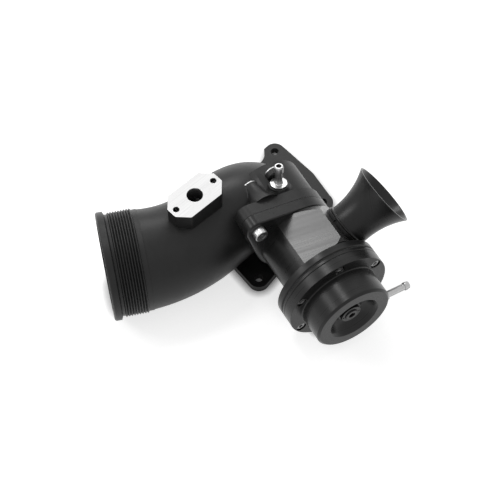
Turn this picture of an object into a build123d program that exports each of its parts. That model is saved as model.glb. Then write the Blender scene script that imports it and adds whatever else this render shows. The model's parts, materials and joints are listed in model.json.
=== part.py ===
"""Blow off valve on a cast throttle elbow, in millimetres.

The elbow stands on its engine flange. The origin is the centre of the flange bore on the mating
face, Z points up into the elbow, and X runs along the last stretch of the intake pipe.
The valve is bolted to a pad on the side of the elbow, and is measured along its own level axis
by its station, the distance from the centre of the flange bore.
"""

import os
from math import cos, radians, sin

from build123d import *

os.makedirs("parts", exist_ok=True)

# Engine flange
flange_t = 6.0
flange_core_r = 39.0
ear_r = 8.0
engine_bolts = [(50.0, 36.0), (44.0, -24.5), (-39.5, -40.0), (-33.5, 20.5)]
bolt_hole_r = 3.2
engine_seal_r = 34.6

# Intake pipe
axis_height = 42.0
wall = 4.2
riser_r = 33.6
bend_r = 34.4
hose_r = 38.0
hose_step = 0.4
engine_bore_r = 30.5
link_run = 17.0
sweep_radius = 98.0
sweep_turn = 31.0
hose_run = 30.0
bead_r = 40.6
bead_w = 5.4
bead_edge = 1.0
rib_count = 9
rib_pitch = 2.0
rib_height = 1.1
rib_start = 8.2
rib_slope = 0.35

# Sensor pad on the crown of the pipe
pad_centre = (-59.5, 4.7)
pad_top = 92.0
pad_half_width = 12.7
pad_flat_half = 14.6
pad_end_half = 22.6
pad_end_width = 8.6
pad_round = 1.6
sensor_bore_r = 6.0
sensor_screw_r = 2.4
sensor_screw_span = 36.0
sensor_screw_depth = 12.0

# Valve axis, and the thickness of each layer along it from the elbow to the cap
valve_azimuth = -103.0
valve_side = 2.0
pad_back = 30.0
pad_t = 9.4
base_flange_t = 9.2
seat_run = 8.4
chamber_run = 27.0
partition_t = 4.0
disc_gap = 2.6
body_disc_t = 5.9
diaphragm_t = 1.0
ring_t = 3.1
cap_flange_t = 8.4
cap_run = 22.0

# Two bolt flange between the elbow and the valve
neck_r = 30.5
oval_r = 32.0
oval_ear_r = 9.0
oval_bolt_r = 45.0
oval_bolt_angle = 135.0
port_r = 18.0
oval_edge = 0.8
pad_relief = 0.8

# Screws
m6_r = 3.0
m6_head_r = 5.0
m6_head_h = 6.0
m6_hex = 5.0
m6_edge = 0.5
m6_tip_gap = 1.0
m4_r = 2.0
m4_head_r = 3.5
m4_head_h = 3.6
m4_hex = 3.0
base_screw_r = 1.75
base_screw_head_r = 3.2
base_screw_pitch_r = 24.0
base_screw_depth = 7.0
base_screw_count = 4
base_screw_socket_r = 1.2
screw_clearance = 0.25
thread_clearance = 0.05

# Seals
seal_t = 1.9
groove_extra = 0.6
pad_seal_r = 29.0
body_seal_r = 20.2

# Valve body
body_r = 29.0
chamber_r = 25.0
seat_bore_r = 16.0
bowl_r = 27.0
disc_edge = 0.6
bowl_slope = 2.0

# Side outlet and trumpet
horn_run = 14.0
horn_angle = 31.0
horn_port_r = 12.5
boss_top = 33.0
block_back_r = 32.0
block_corner_r = 45.0
block_nose = 3.0
spigot_r = 15.0
spigot_depth = 5.0
horn_bore_r = 12.0
horn_shoulder_r = 17.8
horn_shoulder_run = 1.6
lock_ring_t = 2.6
lock_ring_outer_r = 18.4
horn_neck_r = 16.8
horn_neck_run = 3.0
horn_wall = 1.8
horn_mouth_r = 25.5
horn_length = 72.0
flare_start = 0.4
flare_end = 8.0
flare_slope = 0.62
horn_seal_out = 30.6

# Valve, shaft and diaphragm
poppet_r = 20.5
poppet_t = 4.2
poppet_hub_r = 8.0
poppet_hub_run = 4.5
poppet_seal_width = 2.2
poppet_seal_t = 1.5
seat_land = 1.0
seat_gap = 0.02
seat_relief = 0.4
seat_margin = 0.2
shaft_r = 4.0
shaft_thread_r = 3.0
shoulder_gap = 1.4
running_clearance = 0.03
bush_r = 6.5
bush_head_r = 8.5
bush_head_t = 1.5
bush_run = 4.0
washer_t = 1.5
washer_r = 18.5
cup_depth = 3.0
diaphragm_inset = 0.7
roll_gap = 1.4
nut_af = 10.0
nut_h = 5.0
shaft_end_run = 1.6
shaft_seal_t = 1.44
poppet_thread = 6.5
thread_tip = 0.6
washer_rim = 1.2
lower_washer_r = 18.0

# Spring and its adjuster
spring_r = 13.5
spring_wire_r = 1.1
spring_turns = 4.5
spring_seat_t = 2.0
spring_seat_r = 16.5
seat_boss_r = 11.0
seat_boss_t = 1.5
seat_rest_gap = 0.3
adjuster_r = 5.0
adjuster_hex = 5.0
adjuster_socket = 4.0
lock_nut_r = 8.0
lock_nut_t = 2.4
adjuster_stand = 1.0
adjuster_seal_t = 1.0
adjuster_seal_inset = 0.4
spanner_hole_r = 0.7

# Cap
cap_r = 30.5
cap_chamfer = 1.6
cap_bowl_depth = 6.0
cap_bore_r = 20.5
cap_wall = 4.2
recess_r = 19.0
recess_depth = 9.0
recess_chamfer = 1.2
centre_boss_r = 9.5
centre_boss_h = 2.5
cap_screw_count = 6
cap_screw_pitch_r = 35.9
counterbore_gap = 0.4
cap_rim = 0.7
counterbore_depth = 4.4

# Barbed hose tails
tail_bore_r = 1.6
tail_tip = 0.4
cap_tail_angle = -5.0
cap_tail_inset = 6.0
cap_tail_r = 2.5
cap_tail_barb_r = 3.1
cap_tail_collar_r = 3.7
cap_tail_collar_t = 2.0
cap_tail_reach = 51.0
cap_tail_stub = 7.0
vent_r = 24.0
vent_bore_r = 1.5
cap_tail_sink = 0.4
elbow_tail_station = 21.0
elbow_tail_side = 4.0
elbow_tail_lean = 14.0
elbow_tail_lean_azimuth = 45.0
elbow_tail_seat = 74.0
elbow_tail_boss_r = 7.4
elbow_tail_r = 2.65
elbow_tail_barb_r = 3.3
elbow_tail_collar_r = 6.4
elbow_tail_collar_t = 2.4
elbow_tail_length = 14.0
elbow_tail_stub = 8.0
barb_land = 1.2
barb_slope = 2.6

# Two casting bosses beside the hose tail
lug_r = 6.0
lugs = [(121.0, 21.0), (84.0, 4.5)]
lug_pitch_r = 31.0
lug_back = 9.0

# Derived stations, from the back of the pad to the front of the cap
pad_face = pad_back + pad_t
flange_front = pad_face + base_flange_t
seat_station = flange_front + seat_run
horn_station = seat_station + horn_run
partition_back = seat_station + chamber_run
partition_front = partition_back + partition_t
shaft_shoulder = partition_front + bush_head_t + shoulder_gap
disc_back = partition_front + disc_gap
disc_joint = disc_back + body_disc_t
ring_front = disc_joint + diaphragm_t + ring_t
disc_front = ring_front + cap_flange_t
cap_front = disc_front + cap_run
cap_tail_station = cap_front - cap_tail_inset

# Derived radii of the clamped stack
counterbore_r = m4_head_r + counterbore_gap
disc_r = cap_screw_pitch_r + counterbore_r + cap_rim
diaphragm_r = disc_r - diaphragm_inset

# Derived directions and planes
valve_dir = Vector(cos(radians(valve_azimuth)), sin(radians(valve_azimuth)), 0)
side_dir = Vector(-valve_dir.Y, valve_dir.X, 0)
valve_origin = side_dir * valve_side + Vector(0, 0, axis_height)
valve_axis = Axis(valve_origin, valve_dir)
valve_section = Plane(origin=valve_origin, x_dir=valve_dir, z_dir=side_dir * -1)


def at_station(station):
    """Plane across the valve axis, with X level and Y up."""
    return Plane(origin=valve_origin + valve_dir * station, x_dir=side_dir, z_dir=valve_dir)


def polar(radius, angle):
    """Point across the valve axis, from the level side direction towards up."""
    return (radius * cos(radians(angle)), radius * sin(radians(angle)))


def radial_plane(station, angle):
    """Plane at the valve axis whose normal points out at an angle, with X along the axis."""
    across = side_dir * cos(radians(angle)) + Vector(0, 0, 1) * sin(radians(angle))
    return Plane(origin=valve_origin + valve_dir * station, x_dir=valve_dir, z_dir=across)


def radial_section(station, angle):
    """Plane that holds a radial axis: X runs out along it, Y runs along the valve."""
    across = radial_plane(station, angle)
    return Plane(origin=across.origin, x_dir=across.z_dir, z_dir=across.z_dir.cross(valve_dir))


def turned(label, section, axis, points):
    """Solid of revolution from a closed outline of (along, radius) points."""
    with BuildPart() as piece:
        with BuildSketch(section):
            with BuildLine():
                Polyline(*points, close=True)
            make_face()
        revolve(axis=axis)
    piece.part.label = label
    return piece.part


def seal(label, station, radius):
    """Round rubber ring about the valve axis, seated from this station forwards."""
    with BuildPart() as ring:
        with BuildSketch(valve_section):
            with Locations((station + seal_t / 2, radius)):
                Circle(seal_t / 2)
        revolve(axis=valve_axis)
    ring.part.label = label
    return ring.part


def save(part):
    """Write one finished piece under its own label."""
    export_step(part, f"parts/{part.label}.step")


oval_bolts = [polar(oval_bolt_r, oval_bolt_angle), polar(oval_bolt_r, oval_bolt_angle + 180)]
cap_screw_angles = [90 + 360 / cap_screw_count * k for k in range(cap_screw_count)]
base_screw_angles = [45 + 360 / base_screw_count * k for k in range(base_screw_count)]
seal_groove_w = seal_t + groove_extra
hose_bore_r = hose_r - wall
drop_radius = axis_height - flange_t

# Elbow casting: flange, bend, swept pipe, hose end, sensor pad, neck and valve pad
with BuildLine(Plane.XZ) as drop_path:
    riser = Line((0, 0), (0, flange_t))
    drop = JernArc(start=riser @ 1, tangent=riser % 1, radius=drop_radius, arc_size=90)
    Line(drop @ 1, (-drop_radius - link_run, axis_height))
with BuildLine(Plane.XY.offset(axis_height)) as turn_path:
    JernArc(start=(-drop_radius - link_run, 0), tangent=(-1, 0), radius=sweep_radius, arc_size=-sweep_turn)
pipe_path = Wire(drop_path.edges() + turn_path.edges())
hose_start = pipe_path @ 1
hose_dir = pipe_path % 1
hose_axis = Axis(hose_start, hose_dir)
hose_section = Plane(origin=hose_start, x_dir=hose_dir, z_dir=hose_dir.cross(Vector(0, 0, 1)))
turn_start = Plane(origin=turn_path.line @ 0, x_dir=(0, 0, 1), z_dir=(-1, 0, 0))
hose_end = Plane(origin=hose_start, x_dir=(0, 0, 1), z_dir=hose_dir)

hose_outline = [(0, 0), (0, hose_r)]
for rib in reversed(range(rib_count)):
    rib_foot = hose_run - rib_start - rib_pitch * (rib + 1)
    hose_outline += [
        (rib_foot, hose_r),
        (rib_foot + rib_pitch * rib_slope, hose_r + rib_height),
        (rib_foot + rib_pitch * (1 - rib_slope), hose_r + rib_height),
    ]
hose_outline += [
    (hose_run - rib_start, hose_r),
    (hose_run - bead_w - bead_edge, hose_r),
    (hose_run - bead_w, bead_r),
    (hose_run - bead_edge, bead_r),
    (hose_run, bead_r - bead_edge),
    (hose_run, 0),
]

tail_lean = radians(elbow_tail_lean)
tail_lean_dir = Vector(cos(radians(elbow_tail_lean_azimuth)), sin(radians(elbow_tail_lean_azimuth)), 0)
elbow_tail_dir = Vector(0, 0, 1) * cos(tail_lean) + tail_lean_dir * sin(tail_lean)
elbow_tail_foot = valve_dir * elbow_tail_station + side_dir * elbow_tail_side + Vector(0, 0, elbow_tail_seat)
elbow_tail_plane = Plane(origin=elbow_tail_foot, x_dir=tail_lean_dir.cross(Vector(0, 0, 1)), z_dir=elbow_tail_dir)

with BuildPart() as elbow_casting:
    with BuildSketch(Plane.XY):
        with Locations(*engine_bolts):
            Circle(ear_r)
        Circle(flange_core_r)
        make_hull()
    extrude(amount=flange_t)
    with BuildSketch(Plane.XY):
        Circle(riser_r)
    with BuildSketch(turn_start):
        Circle(bend_r)
    with BuildSketch(hose_end):
        Circle(hose_r - hose_step)
    sweep(path=pipe_path, multisection=True)
    with BuildSketch(hose_section):
        with BuildLine():
            Polyline(*hose_outline, close=True)
        make_face()
    revolve(axis=hose_axis)
    # Pedestal of the sensor pad, a rectangle with its corners cut off and rounded
    with BuildSketch(Plane(origin=(*pad_centre, axis_height))):
        with BuildLine():
            Polyline(
                (pad_flat_half, pad_half_width),
                (-pad_flat_half, pad_half_width),
                (-pad_end_half, pad_end_width / 2),
                (-pad_end_half, -pad_end_width / 2),
                (-pad_flat_half, -pad_half_width),
                (pad_flat_half, -pad_half_width),
                (pad_end_half, -pad_end_width / 2),
                (pad_end_half, pad_end_width / 2),
                close=True,
            )
        make_face()
        fillet(vertices(), pad_round)
    extrude(amount=pad_top - axis_height)
    # Neck and two bolt pad of the valve
    with BuildSketch(at_station(0)):
        Circle(neck_r)
    extrude(amount=pad_face)
    with BuildSketch(at_station(pad_back)):
        with Locations(*oval_bolts):
            Circle(oval_ear_r)
        Circle(oval_r)
        make_hull()
    extrude(amount=pad_face - pad_back)
    for lug_angle, lug_length in lugs:
        with BuildSketch(at_station(lug_back)):
            with Locations(polar(lug_pitch_r, lug_angle)):
                Circle(lug_r)
        extrude(amount=lug_length)
    with BuildSketch(elbow_tail_plane):
        Circle(elbow_tail_boss_r)
    extrude(amount=-elbow_tail_stub)
    # Passages: engine bore, bend, pipe, hose end and branch to the valve
    with BuildSketch(at_station(pad_face)):
        with Locations(*oval_bolts):
            Circle(oval_ear_r + pad_relief)
        Circle(oval_r + pad_relief)
        make_hull()
    extrude(amount=disc_back - pad_face, mode=Mode.SUBTRACT)
    with BuildSketch(Plane.XY):
        Circle(riser_r - wall)
    with BuildSketch(turn_start):
        Circle(bend_r - wall)
    with BuildSketch(hose_end):
        Circle(hose_bore_r - hose_step)
    sweep(path=pipe_path, multisection=True, mode=Mode.SUBTRACT)
    with BuildSketch(Plane.XY):
        Circle(engine_bore_r)
    extrude(amount=flange_t, mode=Mode.SUBTRACT)
    with BuildSketch(hose_end):
        Circle(hose_bore_r)
    extrude(amount=hose_run, mode=Mode.SUBTRACT)
    with BuildSketch(at_station(0)):
        Circle(port_r)
    extrude(amount=pad_face, mode=Mode.SUBTRACT)
    # Bolt holes, tapped holes and seal grooves
    with BuildSketch(Plane.XY):
        with Locations(*engine_bolts):
            Circle(bolt_hole_r)
    extrude(amount=flange_t, mode=Mode.SUBTRACT)
    with BuildSketch(Plane.XY):
        Circle(engine_seal_r + seal_groove_w / 2)
        Circle(engine_seal_r - seal_groove_w / 2, mode=Mode.SUBTRACT)
    extrude(amount=seal_t, mode=Mode.SUBTRACT)
    with BuildSketch(Plane.XY.offset(pad_top)):
        with Locations(pad_centre):
            Circle(sensor_bore_r)
    extrude(amount=axis_height - pad_top, mode=Mode.SUBTRACT)
    with BuildSketch(Plane.XY.offset(pad_top)):
        with Locations(pad_centre):
            with GridLocations(sensor_screw_span, 0, 2, 1):
                Circle(sensor_screw_r)
    extrude(amount=-sensor_screw_depth, mode=Mode.SUBTRACT)
    with BuildSketch(at_station(pad_face)):
        with Locations(*oval_bolts):
            Circle(m6_r + thread_clearance)
    extrude(amount=pad_back - pad_face, mode=Mode.SUBTRACT)
    with BuildSketch(at_station(pad_face)):
        Circle(pad_seal_r + seal_groove_w / 2)
        Circle(pad_seal_r - seal_groove_w / 2, mode=Mode.SUBTRACT)
    extrude(amount=-seal_t, mode=Mode.SUBTRACT)
    with BuildSketch(elbow_tail_plane):
        Circle(elbow_tail_r + thread_clearance)
    extrude(amount=-elbow_tail_stub, mode=Mode.SUBTRACT)
    with BuildSketch(elbow_tail_plane):
        Circle(tail_bore_r)
    extrude(amount=axis_height - elbow_tail_seat, mode=Mode.SUBTRACT)
elbow_casting.part.label = "elbow_casting"
save(elbow_casting.part)

# Rubber rings of the engine flange and of the two valve joints
with BuildPart() as engine_seal:
    with BuildSketch(Plane.XZ):
        with Locations((engine_seal_r, seal_t / 2)):
            Circle(seal_t / 2)
    revolve(axis=Axis.Z)
engine_seal.part.label = "engine_seal"
save(engine_seal.part)
save(seal("pad_seal", pad_face - seal_t, pad_seal_r))
save(seal("body_seal", flange_front, body_seal_r))


def hose_tail(label, plane, axis, reach, stub, tube_r, barb_r, collar_r, collar_t):
    """Barbed hose tail: threaded stub, collar, tube and one barb, bored through."""
    outline = [
        (-stub, tail_bore_r),
        (-stub, tube_r),
        (0, tube_r),
        (0, collar_r),
        (collar_t, collar_r),
        (collar_t, tube_r),
        (reach - barb_slope - barb_land, tube_r),
        (reach - barb_slope - barb_land, barb_r),
        (reach - barb_slope, barb_r),
        (reach, tube_r - tail_tip),
        (reach, tail_bore_r),
    ]
    save(turned(label, plane, axis, outline))


hose_tail(
    "elbow_hose_tail",
    Plane(origin=elbow_tail_foot, x_dir=elbow_tail_dir, z_dir=elbow_tail_plane.x_dir),
    Axis(elbow_tail_foot, elbow_tail_dir),
    elbow_tail_length,
    elbow_tail_stub,
    elbow_tail_r,
    elbow_tail_barb_r,
    elbow_tail_collar_r,
    elbow_tail_collar_t,
)

# Base flange of the valve
with BuildPart() as base_flange:
    with BuildSketch(at_station(pad_face)):
        with Locations(*oval_bolts):
            Circle(oval_ear_r)
        Circle(oval_r)
        make_hull()
    extrude(amount=flange_front - pad_face)
    chamfer(faces().sort_by(valve_axis)[-1].edges(), oval_edge)
    with BuildSketch(at_station(pad_face)):
        Circle(port_r)
        with Locations(*oval_bolts):
            Circle(m6_r + screw_clearance)
        with Locations(*[polar(base_screw_pitch_r, a) for a in base_screw_angles]):
            Circle(base_screw_r + thread_clearance)
    extrude(amount=flange_front - pad_face, mode=Mode.SUBTRACT)
    with Locations(at_station(pad_face)):
        with Locations(*[polar(base_screw_pitch_r, a) for a in base_screw_angles]):
            Cone(
                base_screw_head_r,
                base_screw_r,
                base_screw_head_r - base_screw_r,
                align=(Align.CENTER, Align.CENTER, Align.MIN),
                mode=Mode.SUBTRACT,
            )
base_flange.part.label = "base_flange"
save(base_flange.part)

# Countersunk screws that hold the base flange to the body
with BuildPart() as base_screws:
    with Locations(at_station(pad_face)):
        with Locations(*[polar(base_screw_pitch_r, a) for a in base_screw_angles]):
            Cone(
                base_screw_head_r - thread_clearance,
                base_screw_r,
                base_screw_head_r - base_screw_r,
                align=(Align.CENTER, Align.CENTER, Align.MIN),
            )
            Cylinder(
                base_screw_r,
                flange_front - pad_face + base_screw_depth,
                align=(Align.CENTER, Align.CENTER, Align.MIN),
            )
            Cylinder(
                base_screw_socket_r,
                base_screw_socket_r,
                align=(Align.CENTER, Align.CENTER, Align.MIN),
                mode=Mode.SUBTRACT,
            )
base_screws.part.label = "base_screws"
save(base_screws.part)

# Socket head screws of the two bolt flange
with BuildPart() as flange_screws:
    with BuildSketch(at_station(flange_front)):
        with Locations(*oval_bolts):
            Circle(m6_head_r)
    extrude(amount=m6_head_h)
    chamfer(faces().sort_by(valve_axis)[-2:].edges(), m6_edge)
    with BuildSketch(at_station(flange_front)):
        with Locations(*oval_bolts):
            Circle(m6_r)
    extrude(amount=pad_back - flange_front + m6_tip_gap)
    with BuildSketch(at_station(flange_front + m6_head_h)):
        with Locations(*oval_bolts):
            RegularPolygon(m6_hex / 2, 6, major_radius=False)
    extrude(amount=-m6_head_h / 2, mode=Mode.SUBTRACT)
flange_screws.part.label = "flange_screws"
save(flange_screws.part)

# Valve body: seat block, chamber, flat sided outlet boss, partition and diaphragm flange
horn_out = radial_plane(horn_station, horn_angle)
horn_axis = Axis(horn_out.origin, horn_out.z_dir)
with BuildPart() as valve_body:
    with BuildSketch(Plane(origin=at_station(flange_front).origin, x_dir=horn_out.z_dir, z_dir=valve_dir)):
        with BuildLine():
            Polyline((0, body_r), (boss_top, body_r), (boss_top, -body_r), (0, -body_r))
            ThreePointArc((0, -body_r), (-body_r, 0), (0, body_r))
        make_face()
    extrude(amount=disc_joint - flange_front)
    with BuildSketch(valve_section):
        with BuildLine():
            Polyline(
                (flange_front, 0),
                (flange_front, block_back_r),
                (flange_front + block_corner_r - block_back_r, block_corner_r),
                (disc_back - block_nose, block_corner_r),
                (disc_back, disc_r),
                (disc_back, body_r - disc_edge),
                (disc_joint, body_r - disc_edge),
                (disc_joint, 0),
                close=True,
            )
        make_face()
    revolve(axis=valve_axis, mode=Mode.INTERSECT)
    with BuildSketch(valve_section):
        with BuildLine():
            Polyline(
                (disc_back, 0),
                (disc_back + disc_edge, disc_r),
                (disc_joint - disc_edge, disc_r),
                (disc_joint, disc_r - disc_edge),
                (disc_joint, 0),
                close=True,
            )
        make_face()
    revolve(axis=valve_axis)
    with BuildSketch(valve_section):
        with BuildLine():
            Polyline(
                (flange_front, 0),
                (flange_front, seat_bore_r),
                (seat_station - seat_land, seat_bore_r),
                (seat_station, seat_bore_r + seat_land),
                (seat_station, chamber_r),
                (partition_back, chamber_r),
                (partition_back, bush_r),
                (partition_front, bush_r),
                (partition_front, bowl_r - bowl_slope),
                (disc_joint, bowl_r),
                (disc_joint, 0),
                close=True,
            )
        make_face()
    revolve(axis=valve_axis, mode=Mode.SUBTRACT)
    with BuildSketch(horn_out):
        Circle(horn_port_r)
    extrude(amount=boss_top, mode=Mode.SUBTRACT)
    with BuildSketch(horn_out.offset(boss_top)):
        Circle(spigot_r + thread_clearance)
    extrude(amount=-spigot_depth, mode=Mode.SUBTRACT)
    with BuildSketch(at_station(flange_front)):
        with Locations(*[polar(base_screw_pitch_r, a) for a in base_screw_angles]):
            Circle(base_screw_r + thread_clearance)
    extrude(amount=base_screw_depth, mode=Mode.SUBTRACT)
    with BuildSketch(at_station(flange_front)):
        Circle(body_seal_r + seal_groove_w / 2)
        Circle(body_seal_r - seal_groove_w / 2, mode=Mode.SUBTRACT)
    extrude(amount=seal_t, mode=Mode.SUBTRACT)
    with BuildSketch(at_station(disc_back)):
        with Locations(*[polar(cap_screw_pitch_r, a) for a in cap_screw_angles]):
            Circle(m4_r + thread_clearance)
    extrude(amount=disc_joint - disc_back, mode=Mode.SUBTRACT)
valve_body.part.label = "valve_body"
save(valve_body.part)

# Trumpet with its threaded spigot, and the ring that locks it on the boss
ring_top = boss_top + lock_ring_t
neck_end = ring_top + horn_shoulder_run + horn_neck_run
flare_run = horn_length - neck_end
horn_section = radial_section(horn_station, horn_angle)
with BuildPart() as horn:
    with BuildSketch(horn_section):
        with BuildLine():
            foot = Polyline(
                (boss_top - spigot_depth, horn_bore_r),
                (boss_top - spigot_depth, spigot_r),
                (ring_top, spigot_r),
                (ring_top, horn_shoulder_r),
                (ring_top + horn_shoulder_run, horn_shoulder_r),
                (ring_top + horn_shoulder_run, horn_neck_r),
                (neck_end, horn_neck_r),
            )
            flare = Bezier(
                foot @ 1,
                (neck_end + flare_run * flare_start, horn_neck_r),
                (horn_length - flare_end, horn_mouth_r - flare_end * flare_slope),
                (horn_length, horn_mouth_r),
            )
            lip = Line(flare @ 1, (horn_length, horn_mouth_r - horn_wall))
            inside = Bezier(
                lip @ 1,
                (horn_length - flare_end, horn_mouth_r - horn_wall - flare_end * flare_slope),
                (neck_end + flare_run * flare_start, horn_neck_r - horn_wall),
                (neck_end, horn_neck_r - horn_wall),
            )
            throat = Line(inside @ 1, (ring_top, horn_bore_r))
            Line(throat @ 1, foot @ 0)
        make_face()
    revolve(axis=horn_axis)
    with BuildSketch(horn_section):
        with Locations((horn_seal_out, spigot_r)):
            Rectangle(seal_groove_w, 2 * seal_t)
    revolve(axis=horn_axis, mode=Mode.SUBTRACT)
horn.part.label = "horn"
save(horn.part)

save(turned("horn_lock_ring", horn_section, horn_axis, [
    (boss_top, spigot_r + thread_clearance),
    (boss_top, lock_ring_outer_r - disc_edge / 2),
    (boss_top + disc_edge / 2, lock_ring_outer_r),
    (ring_top - disc_edge / 2, lock_ring_outer_r),
    (ring_top, lock_ring_outer_r - disc_edge / 2),
    (ring_top, spigot_r + thread_clearance),
]))

# Poppet, its seat ring and the shaft that lifts it
poppet_back = seat_station + seat_relief
poppet_front = poppet_back + poppet_t
hub_front = poppet_front + poppet_hub_run
seat_ring_r = seat_bore_r + seat_land + seat_margin
seat_ring_back = seat_station + seat_gap
seat_ring_front = seat_ring_back + poppet_seal_t
save(turned("poppet", valve_section, valve_axis, [
    (poppet_back, 0),
    (poppet_back, seat_ring_r),
    (seat_ring_front, seat_ring_r),
    (seat_ring_front, seat_ring_r + poppet_seal_width),
    (poppet_back, seat_ring_r + poppet_seal_width),
    (poppet_back, poppet_r - disc_edge),
    (poppet_back + disc_edge, poppet_r),
    (poppet_front - disc_edge, poppet_r),
    (poppet_front, poppet_r - disc_edge),
    (poppet_front, poppet_hub_r + disc_edge),
    (hub_front, poppet_hub_r),
    (hub_front, shaft_thread_r + thread_clearance),
    (hub_front - poppet_thread, shaft_thread_r + thread_clearance),
    (hub_front - poppet_thread, 0),
]))
save(turned("poppet_seal", valve_section, valve_axis, [
    (seat_ring_back, seat_ring_r + thread_clearance),
    (seat_ring_back, seat_ring_r + poppet_seal_width - thread_clearance),
    (seat_ring_front, seat_ring_r + poppet_seal_width - thread_clearance),
    (seat_ring_front, seat_ring_r + thread_clearance),
]))

diaphragm_back = shaft_shoulder + washer_t
diaphragm_front = diaphragm_back + diaphragm_t
cup_floor = diaphragm_front + washer_t
nut_front = cup_floor + nut_h
shaft_front = nut_front + shaft_end_run
save(turned("valve_shaft", valve_section, valve_axis, [
    (hub_front - poppet_thread, 0),
    (hub_front - poppet_thread, shaft_thread_r),
    (hub_front, shaft_thread_r),
    (hub_front, shaft_r),
    (shaft_shoulder, shaft_r),
    (shaft_shoulder, shaft_thread_r),
    (shaft_front - thread_tip, shaft_thread_r),
    (shaft_front, shaft_thread_r - thread_tip),
    (shaft_front, 0),
]))

# Guide bush in the partition, with a seal on the shaft
guide_r = shaft_r + running_clearance
seal_back = (partition_back + partition_front - shaft_seal_t) / 2
save(turned("guide_bush", valve_section, valve_axis, [
    (partition_back - bush_run, guide_r),
    (partition_back - bush_run, bush_r),
    (partition_front, bush_r),
    (partition_front, bush_head_r),
    (partition_front + bush_head_t, bush_head_r),
    (partition_front + bush_head_t, guide_r),
    (seal_back + shaft_seal_t, guide_r),
    (seal_back + shaft_seal_t, guide_r + shaft_seal_t),
    (seal_back, guide_r + shaft_seal_t),
    (seal_back, guide_r),
]))
with BuildPart() as shaft_seal:
    with BuildSketch(valve_section):
        with Locations((seal_back + shaft_seal_t / 2, guide_r + shaft_seal_t / 2)):
            Circle(shaft_seal_t / 2)
    revolve(axis=valve_axis)
shaft_seal.part.label = "shaft_seal"
save(shaft_seal.part)

# Diaphragm between two washers, held by the shaft nut
fit_r = shaft_thread_r + thread_clearance
roll_foot = bowl_r - roll_gap - (disc_joint - diaphragm_back)
save(turned("lower_washer", valve_section, valve_axis, [
    (shaft_shoulder, fit_r),
    (shaft_shoulder, lower_washer_r),
    (diaphragm_back, lower_washer_r),
    (diaphragm_back, fit_r),
]))
with BuildPart() as diaphragm:
    with BuildSketch(valve_section):
        with BuildLine():
            Polyline(
                (diaphragm_back, fit_r),
                (diaphragm_back, roll_foot),
                (disc_joint, bowl_r - roll_gap),
                (disc_joint, diaphragm_r),
                (disc_joint + diaphragm_t, diaphragm_r),
                (disc_joint + diaphragm_t, bowl_r - roll_gap - diaphragm_t / 2),
                (diaphragm_front, roll_foot - diaphragm_t / 2),
                (diaphragm_front, fit_r),
                close=True,
            )
        make_face()
    revolve(axis=valve_axis)
    with BuildSketch(at_station(disc_joint)):
        with Locations(*[polar(cap_screw_pitch_r, a) for a in cap_screw_angles]):
            Circle(m4_r + screw_clearance)
    extrude(amount=diaphragm_t, mode=Mode.SUBTRACT)
diaphragm.part.label = "diaphragm"
save(diaphragm.part)
save(turned("spring_cup", valve_section, valve_axis, [
    (diaphragm_front, fit_r),
    (diaphragm_front, washer_r),
    (cup_floor + cup_depth, washer_r),
    (cup_floor + cup_depth, washer_r - washer_rim),
    (cup_floor, washer_r - washer_rim),
    (cup_floor, fit_r),
]))
with BuildPart() as shaft_nut:
    with BuildSketch(at_station(cup_floor)):
        RegularPolygon(nut_af / 2, 6, major_radius=False)
        Circle(fit_r, mode=Mode.SUBTRACT)
    extrude(amount=nut_h)
shaft_nut.part.label = "shaft_nut"
save(shaft_nut.part)

# Spacer ring between the body and the cap
with BuildPart() as spacer_ring:
    with BuildSketch(valve_section):
        with BuildLine():
            Polyline(
                (disc_joint + diaphragm_t, bowl_r),
                (disc_joint + diaphragm_t, disc_r - disc_edge),
                (disc_joint + diaphragm_t + disc_edge, disc_r),
                (ring_front - disc_edge, disc_r),
                (ring_front, disc_r - disc_edge),
                (ring_front, bowl_r),
                close=True,
            )
        make_face()
    revolve(axis=valve_axis)
    with BuildSketch(at_station(disc_joint)):
        with Locations(*[polar(cap_screw_pitch_r, a) for a in cap_screw_angles]):
            Circle(m4_r + screw_clearance)
    extrude(amount=ring_front - disc_joint, mode=Mode.SUBTRACT)
spacer_ring.part.label = "spacer_ring"
save(spacer_ring.part)

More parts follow.
